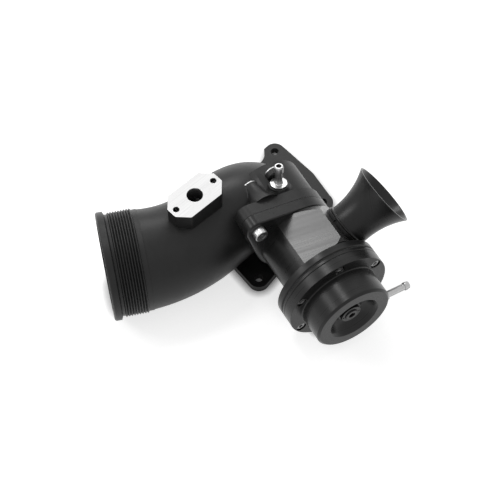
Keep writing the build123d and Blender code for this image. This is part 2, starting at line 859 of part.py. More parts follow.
# Cap: flange, bowl, recess, centre boss, screw holes and the air way to its hose tail
recess_floor = cap_front - recess_depth
bore_end = recess_floor - cap_wall
boss_front = recess_floor + centre_boss_h
cap_tail_out = radial_plane(cap_tail_station, cap_tail_angle)
cap_tail_seat = cap_r - cap_tail_sink
with BuildPart() as cap:
    with BuildSketch(valve_section):
        with BuildLine():
            Polyline(
                (ring_front, 0),
                (ring_front, disc_r - disc_edge),
                (ring_front + disc_edge, disc_r),
                (disc_front - disc_edge, disc_r),
                (disc_front, disc_r - disc_edge),
                (disc_front, cap_r),
                (cap_front - cap_chamfer, cap_r),
                (cap_front, cap_r - cap_chamfer),
                (cap_front, recess_r + recess_chamfer),
                (cap_front - recess_chamfer, recess_r),
                (recess_floor, recess_r),
                (recess_floor, centre_boss_r),
                (boss_front, centre_boss_r),
                (boss_front, 0),
                close=True,
            )
        make_face()
    revolve(axis=valve_axis)
    with BuildSketch(valve_section):
        with BuildLine():
            Polyline(
                (ring_front, 0),
                (ring_front, bowl_r),
                (ring_front + cap_bowl_depth, bowl_r),
                (ring_front + cap_bowl_depth, cap_bore_r),
                (bore_end, cap_bore_r),
                (bore_end, adjuster_r + thread_clearance),
                (boss_front, adjuster_r + thread_clearance),
                (boss_front, 0),
                close=True,
            )
        make_face()
    revolve(axis=valve_axis, mode=Mode.SUBTRACT)
    with BuildSketch(at_station(ring_front)):
        with Locations(*[polar(cap_screw_pitch_r, a) for a in cap_screw_angles]):
            Circle(m4_r + screw_clearance)
    extrude(amount=disc_front - ring_front, mode=Mode.SUBTRACT)
    with BuildSketch(at_station(disc_front)):
        with Locations(*[polar(cap_screw_pitch_r, a) for a in cap_screw_angles]):
            Circle(counterbore_r)
    extrude(amount=-counterbore_depth, mode=Mode.SUBTRACT)
    with BuildSketch(cap_tail_out.offset(vent_r - vent_bore_r)):
        Circle(cap_tail_r + thread_clearance)
    extrude(amount=cap_r - vent_r + vent_bore_r, mode=Mode.SUBTRACT)
    with BuildSketch(cap_tail_out.offset(cap_tail_seat)):
        Circle(cap_tail_collar_r + screw_clearance)
    extrude(amount=cap_tail_sink, mode=Mode.SUBTRACT)
    with BuildSketch(at_station(ring_front + cap_bowl_depth)):
        with Locations(polar(vent_r, cap_tail_angle)):
            Circle(vent_bore_r)
    extrude(amount=cap_tail_station - ring_front - cap_bowl_depth, mode=Mode.SUBTRACT)
cap.part.label = "cap"
save(cap.part)

hose_tail(
    "cap_hose_tail",
    Plane(
        origin=cap_tail_out.origin + cap_tail_out.z_dir * cap_tail_seat,
        x_dir=cap_tail_out.z_dir,
        z_dir=cap_tail_out.z_dir.cross(valve_dir),
    ),
    Axis(cap_tail_out.origin, cap_tail_out.z_dir),
    cap_tail_reach - cap_tail_seat,
    cap_tail_stub,
    cap_tail_r,
    cap_tail_barb_r,
    cap_tail_collar_r,
    cap_tail_collar_t,
)

# Screws of the cap, sunk in their counterbores
head_seat = disc_front - counterbore_depth
with BuildPart() as cap_screws:
    with BuildSketch(at_station(head_seat)):
        with Locations(*[polar(cap_screw_pitch_r, a) for a in cap_screw_angles]):
            Circle(m4_head_r)
    extrude(amount=m4_head_h)
    with BuildSketch(at_station(head_seat)):
        with Locations(*[polar(cap_screw_pitch_r, a) for a in cap_screw_angles]):
            Circle(m4_r)
    extrude(amount=disc_back - head_seat + disc_edge)
    with BuildSketch(at_station(head_seat + m4_head_h)):
        with Locations(*[polar(cap_screw_pitch_r, a) for a in cap_screw_angles]):
            RegularPolygon(m4_hex / 2, 6, major_radius=False)
    extrude(amount=-m4_head_h / 2, mode=Mode.SUBTRACT)
cap_screws.part.label = "cap_screws"
save(cap_screws.part)

# Spring, its seat and the adjuster that moves it
seat_front = bore_end - seat_rest_gap
seat_back = seat_front - spring_seat_t
spring_run = seat_back - cup_floor - 2 * spring_wire_r
with BuildPart() as main_spring:
    with BuildLine():
        coil = Helix(
            spring_run / spring_turns,
            spring_run,
            spring_r,
            center=at_station(cup_floor + spring_wire_r).origin,
            direction=valve_dir,
        )
    with BuildSketch(Plane(origin=coil @ 0, z_dir=coil % 0)):
        Circle(spring_wire_r)
    sweep(is_frenet=True)
main_spring.part.label = "main_spring"
save(main_spring.part)

save(turned("spring_seat", valve_section, valve_axis, [
    (seat_back - seat_boss_t, 0),
    (seat_back - seat_boss_t, seat_boss_r),
    (seat_back, seat_boss_r),
    (seat_back, spring_seat_r),
    (seat_front, spring_seat_r),
    (seat_front, 0),
]))

adjuster_front = boss_front + lock_nut_t + adjuster_stand
adjuster_groove = boss_front - adjuster_seal_inset
with BuildPart() as adjuster_screw:
    with BuildSketch(valve_section):
        with BuildLine():
            Polyline(
                (seat_front, 0),
                (seat_front, adjuster_r),
                (adjuster_groove - adjuster_seal_t, adjuster_r),
                (adjuster_groove - adjuster_seal_t, adjuster_r - adjuster_seal_t),
                (adjuster_groove, adjuster_r - adjuster_seal_t),
                (adjuster_groove, adjuster_r),
                (adjuster_front - disc_edge, adjuster_r),
                (adjuster_front, adjuster_r - disc_edge),
                (adjuster_front, 0),
                close=True,
            )
        make_face()
    revolve(axis=valve_axis)
    with BuildSketch(at_station(adjuster_front)):
        RegularPolygon(adjuster_hex / 2, 6, major_radius=False)
    extrude(amount=-adjuster_socket, mode=Mode.SUBTRACT)
adjuster_screw.part.label = "adjuster_screw"
save(adjuster_screw.part)

with BuildPart() as adjuster_seal:
    with BuildSketch(valve_section):
        with Locations((adjuster_groove - adjuster_seal_t / 2, adjuster_r - adjuster_seal_t / 2)):
            Circle(adjuster_seal_t / 2)
    revolve(axis=valve_axis)
adjuster_seal.part.label = "adjuster_seal"
save(adjuster_seal.part)

# Round lock nut with two spanner holes
with BuildPart() as lock_nut:
    with BuildSketch(at_station(boss_front)):
        Circle(lock_nut_r)
        Circle(adjuster_r + thread_clearance, mode=Mode.SUBTRACT)
    extrude(amount=lock_nut_t)
    with BuildSketch(at_station(boss_front + lock_nut_t)):
        with PolarLocations((lock_nut_r + adjuster_r) / 2, 2):
            Circle(spanner_hole_r)
    extrude(amount=-lock_nut_t / 2, mode=Mode.SUBTRACT)
lock_nut.part.label = "lock_nut"
save(lock_nut.part)

# Rubber ring between the trumpet spigot and its boss
with BuildPart() as horn_seal:
    with BuildSketch(horn_section):
        with Locations((horn_seal_out, spigot_r - seal_t / 2)):
            Circle(seal_t / 2)
    revolve(axis=horn_axis)
horn_seal.part.label = "horn_seal"
save(horn_seal.part)
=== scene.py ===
"""Blow off valve on a cast throttle elbow: finishes, finer pieces and a plain studio.

Sizes are in millimetres and become metres where a mesh is made. The valve is measured along its own
level axis by its station, the distance from the centre of the engine flange bore.
"""

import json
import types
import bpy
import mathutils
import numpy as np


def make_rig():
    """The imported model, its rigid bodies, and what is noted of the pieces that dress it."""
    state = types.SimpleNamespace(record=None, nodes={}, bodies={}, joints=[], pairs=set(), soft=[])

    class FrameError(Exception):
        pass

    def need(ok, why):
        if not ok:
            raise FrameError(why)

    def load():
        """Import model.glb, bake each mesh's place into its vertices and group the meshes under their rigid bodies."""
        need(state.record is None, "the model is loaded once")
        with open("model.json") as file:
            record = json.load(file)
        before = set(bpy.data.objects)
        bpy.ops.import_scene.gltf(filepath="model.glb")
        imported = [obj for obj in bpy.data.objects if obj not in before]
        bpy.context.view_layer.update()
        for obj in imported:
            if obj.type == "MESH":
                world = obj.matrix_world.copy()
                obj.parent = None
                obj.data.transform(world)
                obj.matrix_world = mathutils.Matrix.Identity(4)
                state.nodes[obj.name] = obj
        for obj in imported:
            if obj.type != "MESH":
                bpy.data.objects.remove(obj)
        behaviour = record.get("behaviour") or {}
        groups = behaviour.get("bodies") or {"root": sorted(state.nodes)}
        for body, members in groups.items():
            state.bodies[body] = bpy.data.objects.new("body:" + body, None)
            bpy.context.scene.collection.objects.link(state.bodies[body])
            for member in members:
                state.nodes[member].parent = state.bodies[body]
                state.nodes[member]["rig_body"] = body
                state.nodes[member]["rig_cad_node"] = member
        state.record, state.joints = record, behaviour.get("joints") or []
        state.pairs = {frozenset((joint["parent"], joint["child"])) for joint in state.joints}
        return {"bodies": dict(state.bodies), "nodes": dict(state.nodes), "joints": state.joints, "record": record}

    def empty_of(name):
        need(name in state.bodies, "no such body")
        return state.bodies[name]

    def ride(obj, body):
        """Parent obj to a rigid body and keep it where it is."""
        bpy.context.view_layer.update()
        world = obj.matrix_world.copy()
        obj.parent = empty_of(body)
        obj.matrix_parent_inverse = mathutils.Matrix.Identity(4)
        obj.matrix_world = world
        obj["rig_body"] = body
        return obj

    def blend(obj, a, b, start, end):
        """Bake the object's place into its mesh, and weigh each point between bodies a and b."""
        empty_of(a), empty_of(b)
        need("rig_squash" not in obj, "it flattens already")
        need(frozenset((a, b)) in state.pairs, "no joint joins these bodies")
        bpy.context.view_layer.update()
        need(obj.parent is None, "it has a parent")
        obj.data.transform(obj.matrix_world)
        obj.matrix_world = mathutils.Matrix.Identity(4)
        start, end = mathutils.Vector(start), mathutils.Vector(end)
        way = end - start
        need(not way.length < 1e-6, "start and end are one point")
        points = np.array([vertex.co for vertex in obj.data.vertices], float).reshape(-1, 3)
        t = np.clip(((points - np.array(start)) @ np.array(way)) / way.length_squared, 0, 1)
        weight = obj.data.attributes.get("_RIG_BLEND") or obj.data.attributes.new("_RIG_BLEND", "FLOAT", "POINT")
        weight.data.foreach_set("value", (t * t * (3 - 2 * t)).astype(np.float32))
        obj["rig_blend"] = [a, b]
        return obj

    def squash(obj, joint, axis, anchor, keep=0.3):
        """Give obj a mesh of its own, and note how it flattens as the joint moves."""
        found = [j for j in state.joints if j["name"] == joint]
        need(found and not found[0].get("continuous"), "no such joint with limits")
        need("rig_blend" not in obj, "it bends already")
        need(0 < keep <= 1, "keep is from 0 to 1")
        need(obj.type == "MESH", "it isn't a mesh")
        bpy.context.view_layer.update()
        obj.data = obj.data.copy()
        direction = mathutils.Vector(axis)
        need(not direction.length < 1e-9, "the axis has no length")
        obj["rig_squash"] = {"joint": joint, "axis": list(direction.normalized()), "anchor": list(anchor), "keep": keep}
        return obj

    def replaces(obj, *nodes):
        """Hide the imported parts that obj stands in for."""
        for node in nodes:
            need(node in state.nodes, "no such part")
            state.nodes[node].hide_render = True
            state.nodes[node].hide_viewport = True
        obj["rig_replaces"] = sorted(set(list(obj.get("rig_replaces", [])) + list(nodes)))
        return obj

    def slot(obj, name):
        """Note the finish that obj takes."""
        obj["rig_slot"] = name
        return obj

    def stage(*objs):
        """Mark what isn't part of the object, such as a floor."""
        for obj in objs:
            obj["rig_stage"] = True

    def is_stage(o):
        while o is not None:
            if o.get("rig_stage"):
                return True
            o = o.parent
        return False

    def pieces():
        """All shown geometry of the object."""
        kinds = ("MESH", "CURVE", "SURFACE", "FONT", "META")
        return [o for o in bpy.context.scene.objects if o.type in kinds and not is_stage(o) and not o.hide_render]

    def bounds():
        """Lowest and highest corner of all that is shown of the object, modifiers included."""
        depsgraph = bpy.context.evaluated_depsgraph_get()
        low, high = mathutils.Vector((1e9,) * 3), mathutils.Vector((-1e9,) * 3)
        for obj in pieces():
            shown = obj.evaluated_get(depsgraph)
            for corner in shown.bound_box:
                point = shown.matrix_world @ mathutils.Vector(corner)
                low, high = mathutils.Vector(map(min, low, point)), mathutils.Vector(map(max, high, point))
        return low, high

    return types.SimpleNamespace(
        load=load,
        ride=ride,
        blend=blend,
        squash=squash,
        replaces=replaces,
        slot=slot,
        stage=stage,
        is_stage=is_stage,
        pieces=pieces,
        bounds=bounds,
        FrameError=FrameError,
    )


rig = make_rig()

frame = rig.load()

import json
import logging
import math
from contextlib import contextmanager
from dataclasses import dataclass
from enum import Enum
from typing import Callable, Iterator, Sequence

import bpy
from mathutils import Matrix, Vector

MM = 0.001
SIZE_FILE = "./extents.json"
CAD_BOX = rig.bounds()

Colour = tuple[float, float, float, float]
Point = tuple[float, float]
Triple = tuple[float, float, float]
Rule = Callable[[Vector, Vector], bool]
Piece = bpy.types.Object
Material = bpy.types.Material
Socket = bpy.types.NodeSocket
Group = bpy.types.NodeTree
Setting = str | int | Group

log = logging.getLogger("valve")


class Body(Enum):
    """Bodies of the frame that a new piece can ride on."""

    FIXED = "body"
    VALVE = "valve"
    ADJUSTER = "adjuster"


class Slot(Enum):
    """Material slots of the record that the finishes dress."""

    CAST = "cast_black"
    ANODISED = "anodised_black"
    MACHINED = "machined_alloy"
    STEEL = "steel"
    BLACK_STEEL = "black_steel"
    BRONZE = "bronze"
    RUBBER = "rubber"


def grey(level: float) -> Colour:
    """Return an opaque grey of this linear level."""
    return (level, level, level, 1.0)


@dataclass(frozen=True)
class Axis:
    """Straight axis that turned pieces are made about.

    Args:
        foot: point that distances along the axis are measured from, in metres.
        along: unit direction of the axis.
        up: unit direction across the axis that a piece's own Y is laid on.
    """

    foot: Vector
    along: Vector
    up: Vector

    def matrix(self, distance: float = 0.0) -> Matrix:
        """Place a piece whose own Z runs along the axis.

        Args:
            distance: millimetres from the foot to the piece's own origin.

        Returns:
            The matrix that turns and moves the piece to its place.
        """
        place = Matrix((self.up.cross(self.along), self.up, self.along)).transposed().to_4x4()
        place.translation = self.foot + self.along * distance * MM
        return place

    def out(self, angle: float) -> Vector:
        """Return the direction across the axis at this angle, in degrees from level towards up."""
        turn = math.radians(angle)
        return self.up.cross(self.along) * math.cos(turn) + self.up * math.sin(turn)

    def polar(self, distance: float, radius: float, angle: float) -> Matrix:
        """Place a piece beside the axis.

        Args:
            distance: millimetres along the axis.
            radius: millimetres from it.
            angle: degrees round it, from the level side towards up.

        Returns:
            The matrix of the piece's place.
        """
        place = self.matrix(distance)
        place.translation += self.out(angle) * radius * MM
        return place

    def branch(self, distance: float, angle: float) -> "Axis":
        """Return the axis that leaves this one square, this far along it and at this angle."""
        return Axis(self.matrix(distance).translation, self.out(angle), self.along)


def valve_axis() -> Axis:
    """Read the valve's axis from the joints of the frame.

    Returns:
        The axis, with stations measured from the centre of the flange bore.
    """
    joints = {joint["name"]: joint for joint in frame["joints"]}
    along = Vector(joints["valve_lift"]["axis"]).normalized()
    point = Vector(joints["adjuster_turn"]["pos_m"])
    return Axis(point - along * point.dot(along), along, Vector((0.0, 0.0, 1.0)))


VALVE = valve_axis()
OUTLET = 31.0  # direction of the side outlet round the valve, in degrees
SLANT = 0.45  # lean of the milled marks on the body towards the valve's axis
CAP_SCREWS = tuple(90.0 + 60.0 * step for step in range(6))  # directions of the cap's screws


class Tree:
    """Short way to build a node tree, of a material, of a world or of a group."""

    def __init__(self, tree: Group) -> None:
        """Keep the tree that nodes are added to."""
        self.tree = tree

    def feed(self, node: bpy.types.Node, inputs: dict) -> None:
        """Fill inputs of a node.

        Args:
            node: the node.
            inputs: socket name or number to a value, or to a socket that is linked to it.
        """
        for name, value in inputs.items():
            if isinstance(value, Socket):
                self.tree.links.new(value, node.inputs[name])
            else:
                node.inputs[name].default_value = value

    def add(self, kind: str, inputs: dict | None = None, **settings: Setting) -> bpy.types.Node:
        """Add a node.

        Args:
            kind: the node's type.
            inputs: what its inputs are filled with.
            settings: properties of the node.

        Returns:
            The new node.
        """
        node = self.tree.nodes.new(kind)
        for name, value in settings.items():
            setattr(node, name, value)
        self.feed(node, inputs or {})
        return node

    def group(self, effect: Group, inputs: dict) -> bpy.types.NodeOutputs:
        """Place a node group with its own values, and return its outputs."""
        return self.add("ShaderNodeGroup", inputs, node_tree=effect).outputs

    def math(self, operation: str, *values: float | Socket) -> Socket:
        """Add a Math node on the given values and return its output."""
        return self.add("ShaderNodeMath", dict(enumerate(values)), operation=operation).outputs[0]

    def noise(
        self, inputs: dict, detail: float, roughness: float = 0.5, **settings: Setting
    ) -> Socket:
        """Add a noise of this detail and roughness and return its value."""
        inputs = {**inputs, "Detail": detail, "Roughness": roughness}
        return self.add("ShaderNodeTexNoise", inputs, **settings).outputs[0]

    def stretch(self, value: Socket, low: float, high: float) -> Socket:
        """Return a value that runs from 0 to 1 while the given one runs from low to high."""
        inputs = {"Value": value, "From Min": low, "From Max": high}
        return self.add("ShaderNodeMapRange", inputs).outputs[0]


@dataclass
class Effects:
    """Node groups that more than one finish uses, each built once.

    Args:
        swell: height of a skin's slow waves against that of its fine pits.
        broad: how many broad streaks there are to one fine one.
    """

    swell: float = 1.5
    broad: float = 0.12

    def __post_init__(self) -> None:
        """Build the groups."""
        self.grain = self._grain()
        self.turning = self._turning()
        self.handling = self._handling()
        self.brushing = self._brushing()

    @staticmethod
    def _start(
        name: str, inputs: dict[str, str], *outputs: str
    ) -> tuple[Tree, bpy.types.NodeOutputs, bpy.types.Node]:
        """Make an empty group with its sockets.

        Args:
            name: the group's name.
            inputs: name and type of each input beside Position.
            outputs: name of each output, which is a value.

        Returns:
            The group's tree helper, the sockets of its input node and its output node.
        """
        group = bpy.data.node_groups.new(name, "ShaderNodeTree")
        sockets = [("INPUT", "Position", "Vector")]
        sockets += [("INPUT", label, kind) for label, kind in inputs.items()]
        sockets += [("OUTPUT", label, "Float") for label in outputs]
        for side, label, kind in sockets:
            group.interface.new_socket(name=label, in_out=side, socket_type=f"NodeSocket{kind}")
        tree = Tree(group)
        return tree, tree.add("NodeGroupInput").outputs, tree.add("NodeGroupOutput")

    def _grain(self) -> Group:
        """Build the grain of a cast or blasted skin.

        Returns:
            Group with Height, fine pits on slow waves, and Mottle, slow patches from 0 to 1.
        """
        inputs = {"Grain": "Float", "Waves": "Float"}
        tree, given, out = self._start("skin_grain", inputs, "Height", "Mottle")
        where = given["Position"]
        fine = tree.noise({"Vector": where, "Scale": given["Grain"]}, detail=3.0, roughness=0.6)
        slow = tree.noise({"Vector": where, "Scale": given["Waves"]}, detail=4.0)
        height = tree.math("MULTIPLY_ADD", slow, self.swell, fine)
        tree.feed(out, {"Height": height, "Mottle": tree.stretch(slow, low=0.3, high=0.7)})
        return tree.tree

    def _turning(self) -> Group:
        """Build the tool marks of a lathe, round the Z axis of the position that is given.

        Returns:
            Group with Height, rings across faces and along barrels, and Streak, their slow change.
        """
        tree, given, out = self._start("turning_marks", {"Marks": "Float"}, "Height", "Streak")
        parts = tree.add("ShaderNodeSeparateXYZ", {"Vector": given["Position"]}).outputs
        flat = tree.add("ShaderNodeCombineXYZ", {"X": parts["X"], "Y": parts["Y"]}).outputs[0]
        radius = tree.add("ShaderNodeVectorMath", {0: flat}, operation="LENGTH").outputs["Value"]
        ring = tree.math("ADD", radius, parts["Z"])
        line = {"noise_dimensions": "1D"}
        marks = tree.noise({"W": ring, "Scale": given["Marks"]}, detail=2.0, roughness=0.7, **line)
        slow = tree.math("MULTIPLY", given["Marks"], self.broad)
        streak = tree.noise({"W": ring, "Scale": slow}, detail=2.0, **line)
        tree.feed(out, {"Height": marks, "Streak": streak})
        return tree.tree

    def _handling(self) -> Group:
        """Build the faint smears left by handling.

        Returns:
            Group with Smear, soft patches from 0 to 1.
        """
        tree, given, out = self._start("handling_smears", {"Size": "Float"}, "Smear")
        place = {"Vector": given["Position"], "Scale": given["Size"], "Distortion": 0.6}
        cloud = tree.noise(place, detail=5.0, roughness=0.65)
        tree.feed(out, {"Smear": tree.stretch(cloud, low=0.42, high=0.72)})
        return tree.tree

    def _brushing(self) -> Group:
        """Build the straight marks of a milling cutter.

        Returns:
            Group with Height, fine streaks, and Shade, broad streaks from 0 to 1.
        """
        tree, given, out = self._start("milling_streaks", {"Streaks": "Vector"}, "Height", "Shade")
        both = {0: given["Position"], 1: given["Streaks"]}
        drawn = tree.add("ShaderNodeVectorMath", both, operation="MULTIPLY").outputs[0]
        fine = tree.noise({"Vector": drawn, "Scale": 1.0}, detail=3.0, roughness=0.7)
        broad = tree.noise({"Vector": drawn, "Scale": self.broad}, detail=3.0)
        tree.feed(out, {"Height": fine, "Shade": tree.stretch(broad, low=0.35, high=0.65)})
        return tree.tree


@dataclass(frozen=True)
class Grained:
    """Grain of a cast or moulded surface.

    Args:
        grains: grains to the metre.
        depth: their depth, in millimetres.
    """

    grains: float
    depth: float

    def pattern(self, tree: Tree, effects: Effects, where: Socket, waves: float) -> list[Socket]:
        """Lay the grain on a material.

        Args:
            tree: the material's tree.
            effects: the shared node groups.
            where: position on the piece.
            waves: slow waves to the metre.

        Returns:
            The patches and the height of the grain.
        """
        inputs = {"Position": where, "Grain": self.grains, "Waves": waves}
        outputs = tree.group(effects.grain, inputs)
        return [outputs["Mottle"], outputs["Height"]]


@dataclass(frozen=True)
class Turned:
    """Lathe marks round the valve's axis.

    Args:
        marks: marks to the metre.
        depth: their depth, in millimetres.
    """

    marks: float
    depth: float

    def pattern(self, tree: Tree, effects: Effects, where: Socket, waves: float) -> list[Socket]:
        """Lay the marks on a material.

        Args:
            tree: the material's tree.
            effects: the shared node groups.
            where: position on the piece.
            waves: slow waves to the metre.

        Returns:
            The streaks and the height of the marks.
        """
        turn = VALVE.matrix().inverted()
        inputs = {"Vector": where, "Location": turn.translation, "Rotation": turn.to_euler("XYZ")}
        laid = tree.add("ShaderNodeMapping", inputs).outputs[0]
        outputs = tree.group(effects.turning, {"Position": laid, "Marks": self.marks})
        return [outputs["Streak"], outputs["Height"]]


@dataclass(frozen=True)
class Milled:
    """Straight marks of a cutter on a flat face.

    Args:
        streaks: streaks to the metre along the run, across it and through the face.
        depth: their depth, in millimetres.
        run: direction that they run in.
        face: normal of the face that they lie on.
    """

    streaks: Triple
    depth: float
    run: Vector = Vector((1.0, 0.0, 0.0))
    face: Vector = Vector((0.0, 0.0, 1.0))

    def pattern(self, tree: Tree, effects: Effects, where: Socket, waves: float) -> list[Socket]:
        """Lay the streaks on a material.

        Args:
            tree: the material's tree.
            effects: the shared node groups.
            where: position on the piece.
            waves: slow waves to the metre.

        Returns:
            The broad streaks and the height of the fine ones.
        """
        run, face = self.run.normalized(), self.face.normalized()
        turn = Matrix((run, face.cross(run), face)).to_euler("XYZ")
        laid = tree.add("ShaderNodeMapping", {"Vector": where, "Rotation": turn}).outputs[0]
        outputs = tree.group(effects.brushing, {"Position": laid, "Streaks": self.streaks})
        return [outputs["Shade"], outputs["Height"]]


@dataclass(frozen=True)
class Finish:
    """Look of one surface: a Principled shader fed by the shared effects.

    Args:
        name: name of the material.
        colour: base colour.
        tint: base colour where the patches are strongest.
        texture: grain or tool marks of the surface.
        metallic: 1 on bare metal and 0 on paint and rubber.
        roughness: least roughness.
        spread: what the patches and smears add to it.
        specular: specular level of the shader.
        rim: how bright the surface stays where it is seen edge on.
        waves: slow waves to the metre.
        edge: radius that edges are softened to, in millimetres.
    """

    name: str
    colour: Colour
    tint: Colour
    texture: Grained | Turned | Milled
    metallic: float
    roughness: float
    spread: float
    specular: float = 0.5
    rim: float = 1.0
    waves: float = 60.0
    edge: float = 0.25

    def material(self, effects: Effects) -> Material:
        """Build the material.

        Args:
            effects: the shared node groups.

        Returns:
            The material.
        """
        material = bpy.data.materials.new(self.name)
        material.use_nodes = True
        tree = Tree(material.node_tree)
        where = tree.add("ShaderNodeTexCoord").outputs["Object"]
        smear = tree.group(effects.handling, {"Position": where, "Size": self.waves / 2})["Smear"]
        patches, height = self.texture.pattern(tree, effects, where, self.waves)
        patches = tree.math("MAXIMUM", smear, patches)
        colours = {"Factor": patches, "A": self.colour, "B": self.tint}
        colour = tree.add("ShaderNodeMix", colours, data_type="RGBA").outputs["Result"]
        soft = tree.add("ShaderNodeBevel", {"Radius": self.edge * MM}, samples=4).outputs[0]
        marks = {"Height": height, "Distance": self.texture.depth * MM, "Normal": soft}
        tree.feed(
            material.node_tree.nodes["Principled BSDF"],
            {
                "Base Color": colour,
                "Roughness": tree.math("MULTIPLY_ADD", patches, self.spread, self.roughness),
                "Metallic": self.metallic,
                "Specular IOR Level": self.specular,
                "Specular Tint": grey(self.rim),
                "Normal": tree.add("ShaderNodeBump", marks).outputs[0],
            },
        )
        return material


FINISHES = {
    Slot.CAST: Finish(
        "cast_black", grey(0.009), grey(0.015), Grained(2200.0, 0.05),
        metallic=0.0, roughness=0.36, spread=0.10, specular=0.26, waves=70.0, edge=0.3,
    ),
    Slot.ANODISED: Finish(
        "anodised_black", grey(0.009), grey(0.015), Turned(2600.0, 0.010),
        metallic=0.0, roughness=0.24, spread=0.10, specular=0.25,
    ),
    Slot.MACHINED: Finish(
        "machined_alloy", grey(0.50), grey(0.40), Turned(2400.0, 0.012),
        metallic=1.0, roughness=0.28, spread=0.12, rim=0.1,
    ),
    Slot.STEEL: Finish(
        "steel", grey(0.50), grey(0.40), Turned(3000.0, 0.008),
        metallic=1.0, roughness=0.26, spread=0.12, rim=0.1,
    ),
    Slot.BLACK_STEEL: Finish(
        "black_steel", grey(0.030), grey(0.045), Turned(3000.0, 0.008),
        metallic=0.6, roughness=0.32, spread=0.14,
    ),
    Slot.BRONZE: Finish(
        "bronze", (0.62, 0.42, 0.20, 1.0), (0.52, 0.34, 0.16, 1.0), Turned(2600.0, 0.010),
        metallic=1.0, roughness=0.30, spread=0.10,
    ),
    Slot.RUBBER: Finish(
        "rubber", grey(0.018), grey(0.028), Grained(3000.0, 0.05),
        metallic=0.0, roughness=0.62, spread=0.18, specular=0.35,
    ),
}
MILLED = Finish(
    "milled_face", grey(0.80), grey(0.62), Milled((60.0, 2600.0, 60.0), 0.004),
    metallic=1.0, roughness=0.20, spread=0.06,
)
SLANTED = Milled(
    (50.0, 3800.0, 50.0), 0.010,
    run=VALVE.out(OUTLET) + VALVE.along * SLANT, face=VALVE.out(OUTLET + 90.0),
)
MILLED_BLACK = Finish(
    "milled_black", grey(0.012), grey(0.018), SLANTED,
    metallic=0.0, roughness=0.26, spread=0.07, specular=0.95,
)


class Wardrobe:
    """Materials of every slot, handed out to CAD nodes and new pieces."""

    def __init__(self) -> None:
        """Build the effects and the material of each finish."""
        effects = Effects()
        self.materials = {slot: finish.material(effects) for slot, finish in FINISHES.items()}
        self.milled = MILLED.material(effects)
        self.milled_black = MILLED_BLACK.material(effects)

    def dress_nodes(self) -> None:
        """Put the finish of its slot on each CAD node."""
        for part in frame["record"]["subparts"]:
            for place in frame["nodes"][part["node"]].material_slots:
                place.material = self.materials[Slot(part["material_slot"])]
            log.info("dressed %s as %s", part["node"], part["material_slot"])

    def hand_over(
        self, piece: Piece, slot: Slot, *nodes: str, body: Body | None = Body.FIXED
    ) -> None:
        """Dress a new piece, and say what it rides on and stands for.

        Args:
            piece: the finished piece.
            slot: slot of its finish.
            nodes: CAD nodes that it stands for.
            body: body that it rides on, or None where it is blended between two.
        """
        if not piece.data.materials:
            piece.data.materials.append(self.materials[slot])
        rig.slot(piece, slot.value)
        if body:
            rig.ride(piece, body.value)
        if nodes:
            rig.replaces(piece, *nodes)
        log.info("made %s for %s", piece.name, ", ".join(nodes) or "looks alone")


def clear_selection() -> None:
    """Leave nothing selected, in object mode."""
    if bpy.context.mode != "OBJECT":
        bpy.ops.object.mode_set(mode="OBJECT")
    bpy.ops.object.select_all(action="DESELECT")


def choose(*pieces: Piece) -> None:
    """Select some pieces alone and make the first one active.

    Args:
        pieces: the pieces.
    """
    clear_selection()
    for piece in pieces:
        piece.select_set(True)
    bpy.context.view_layer.objects.active = pieces[0]


@contextmanager
def editing() -> Iterator[None]:
    """Work in edit mode on the whole mesh of the active piece."""
    bpy.ops.object.mode_set(mode="EDIT")
    bpy.ops.mesh.select_all(action="SELECT")
    yield
    bpy.ops.object.mode_set(mode="OBJECT")


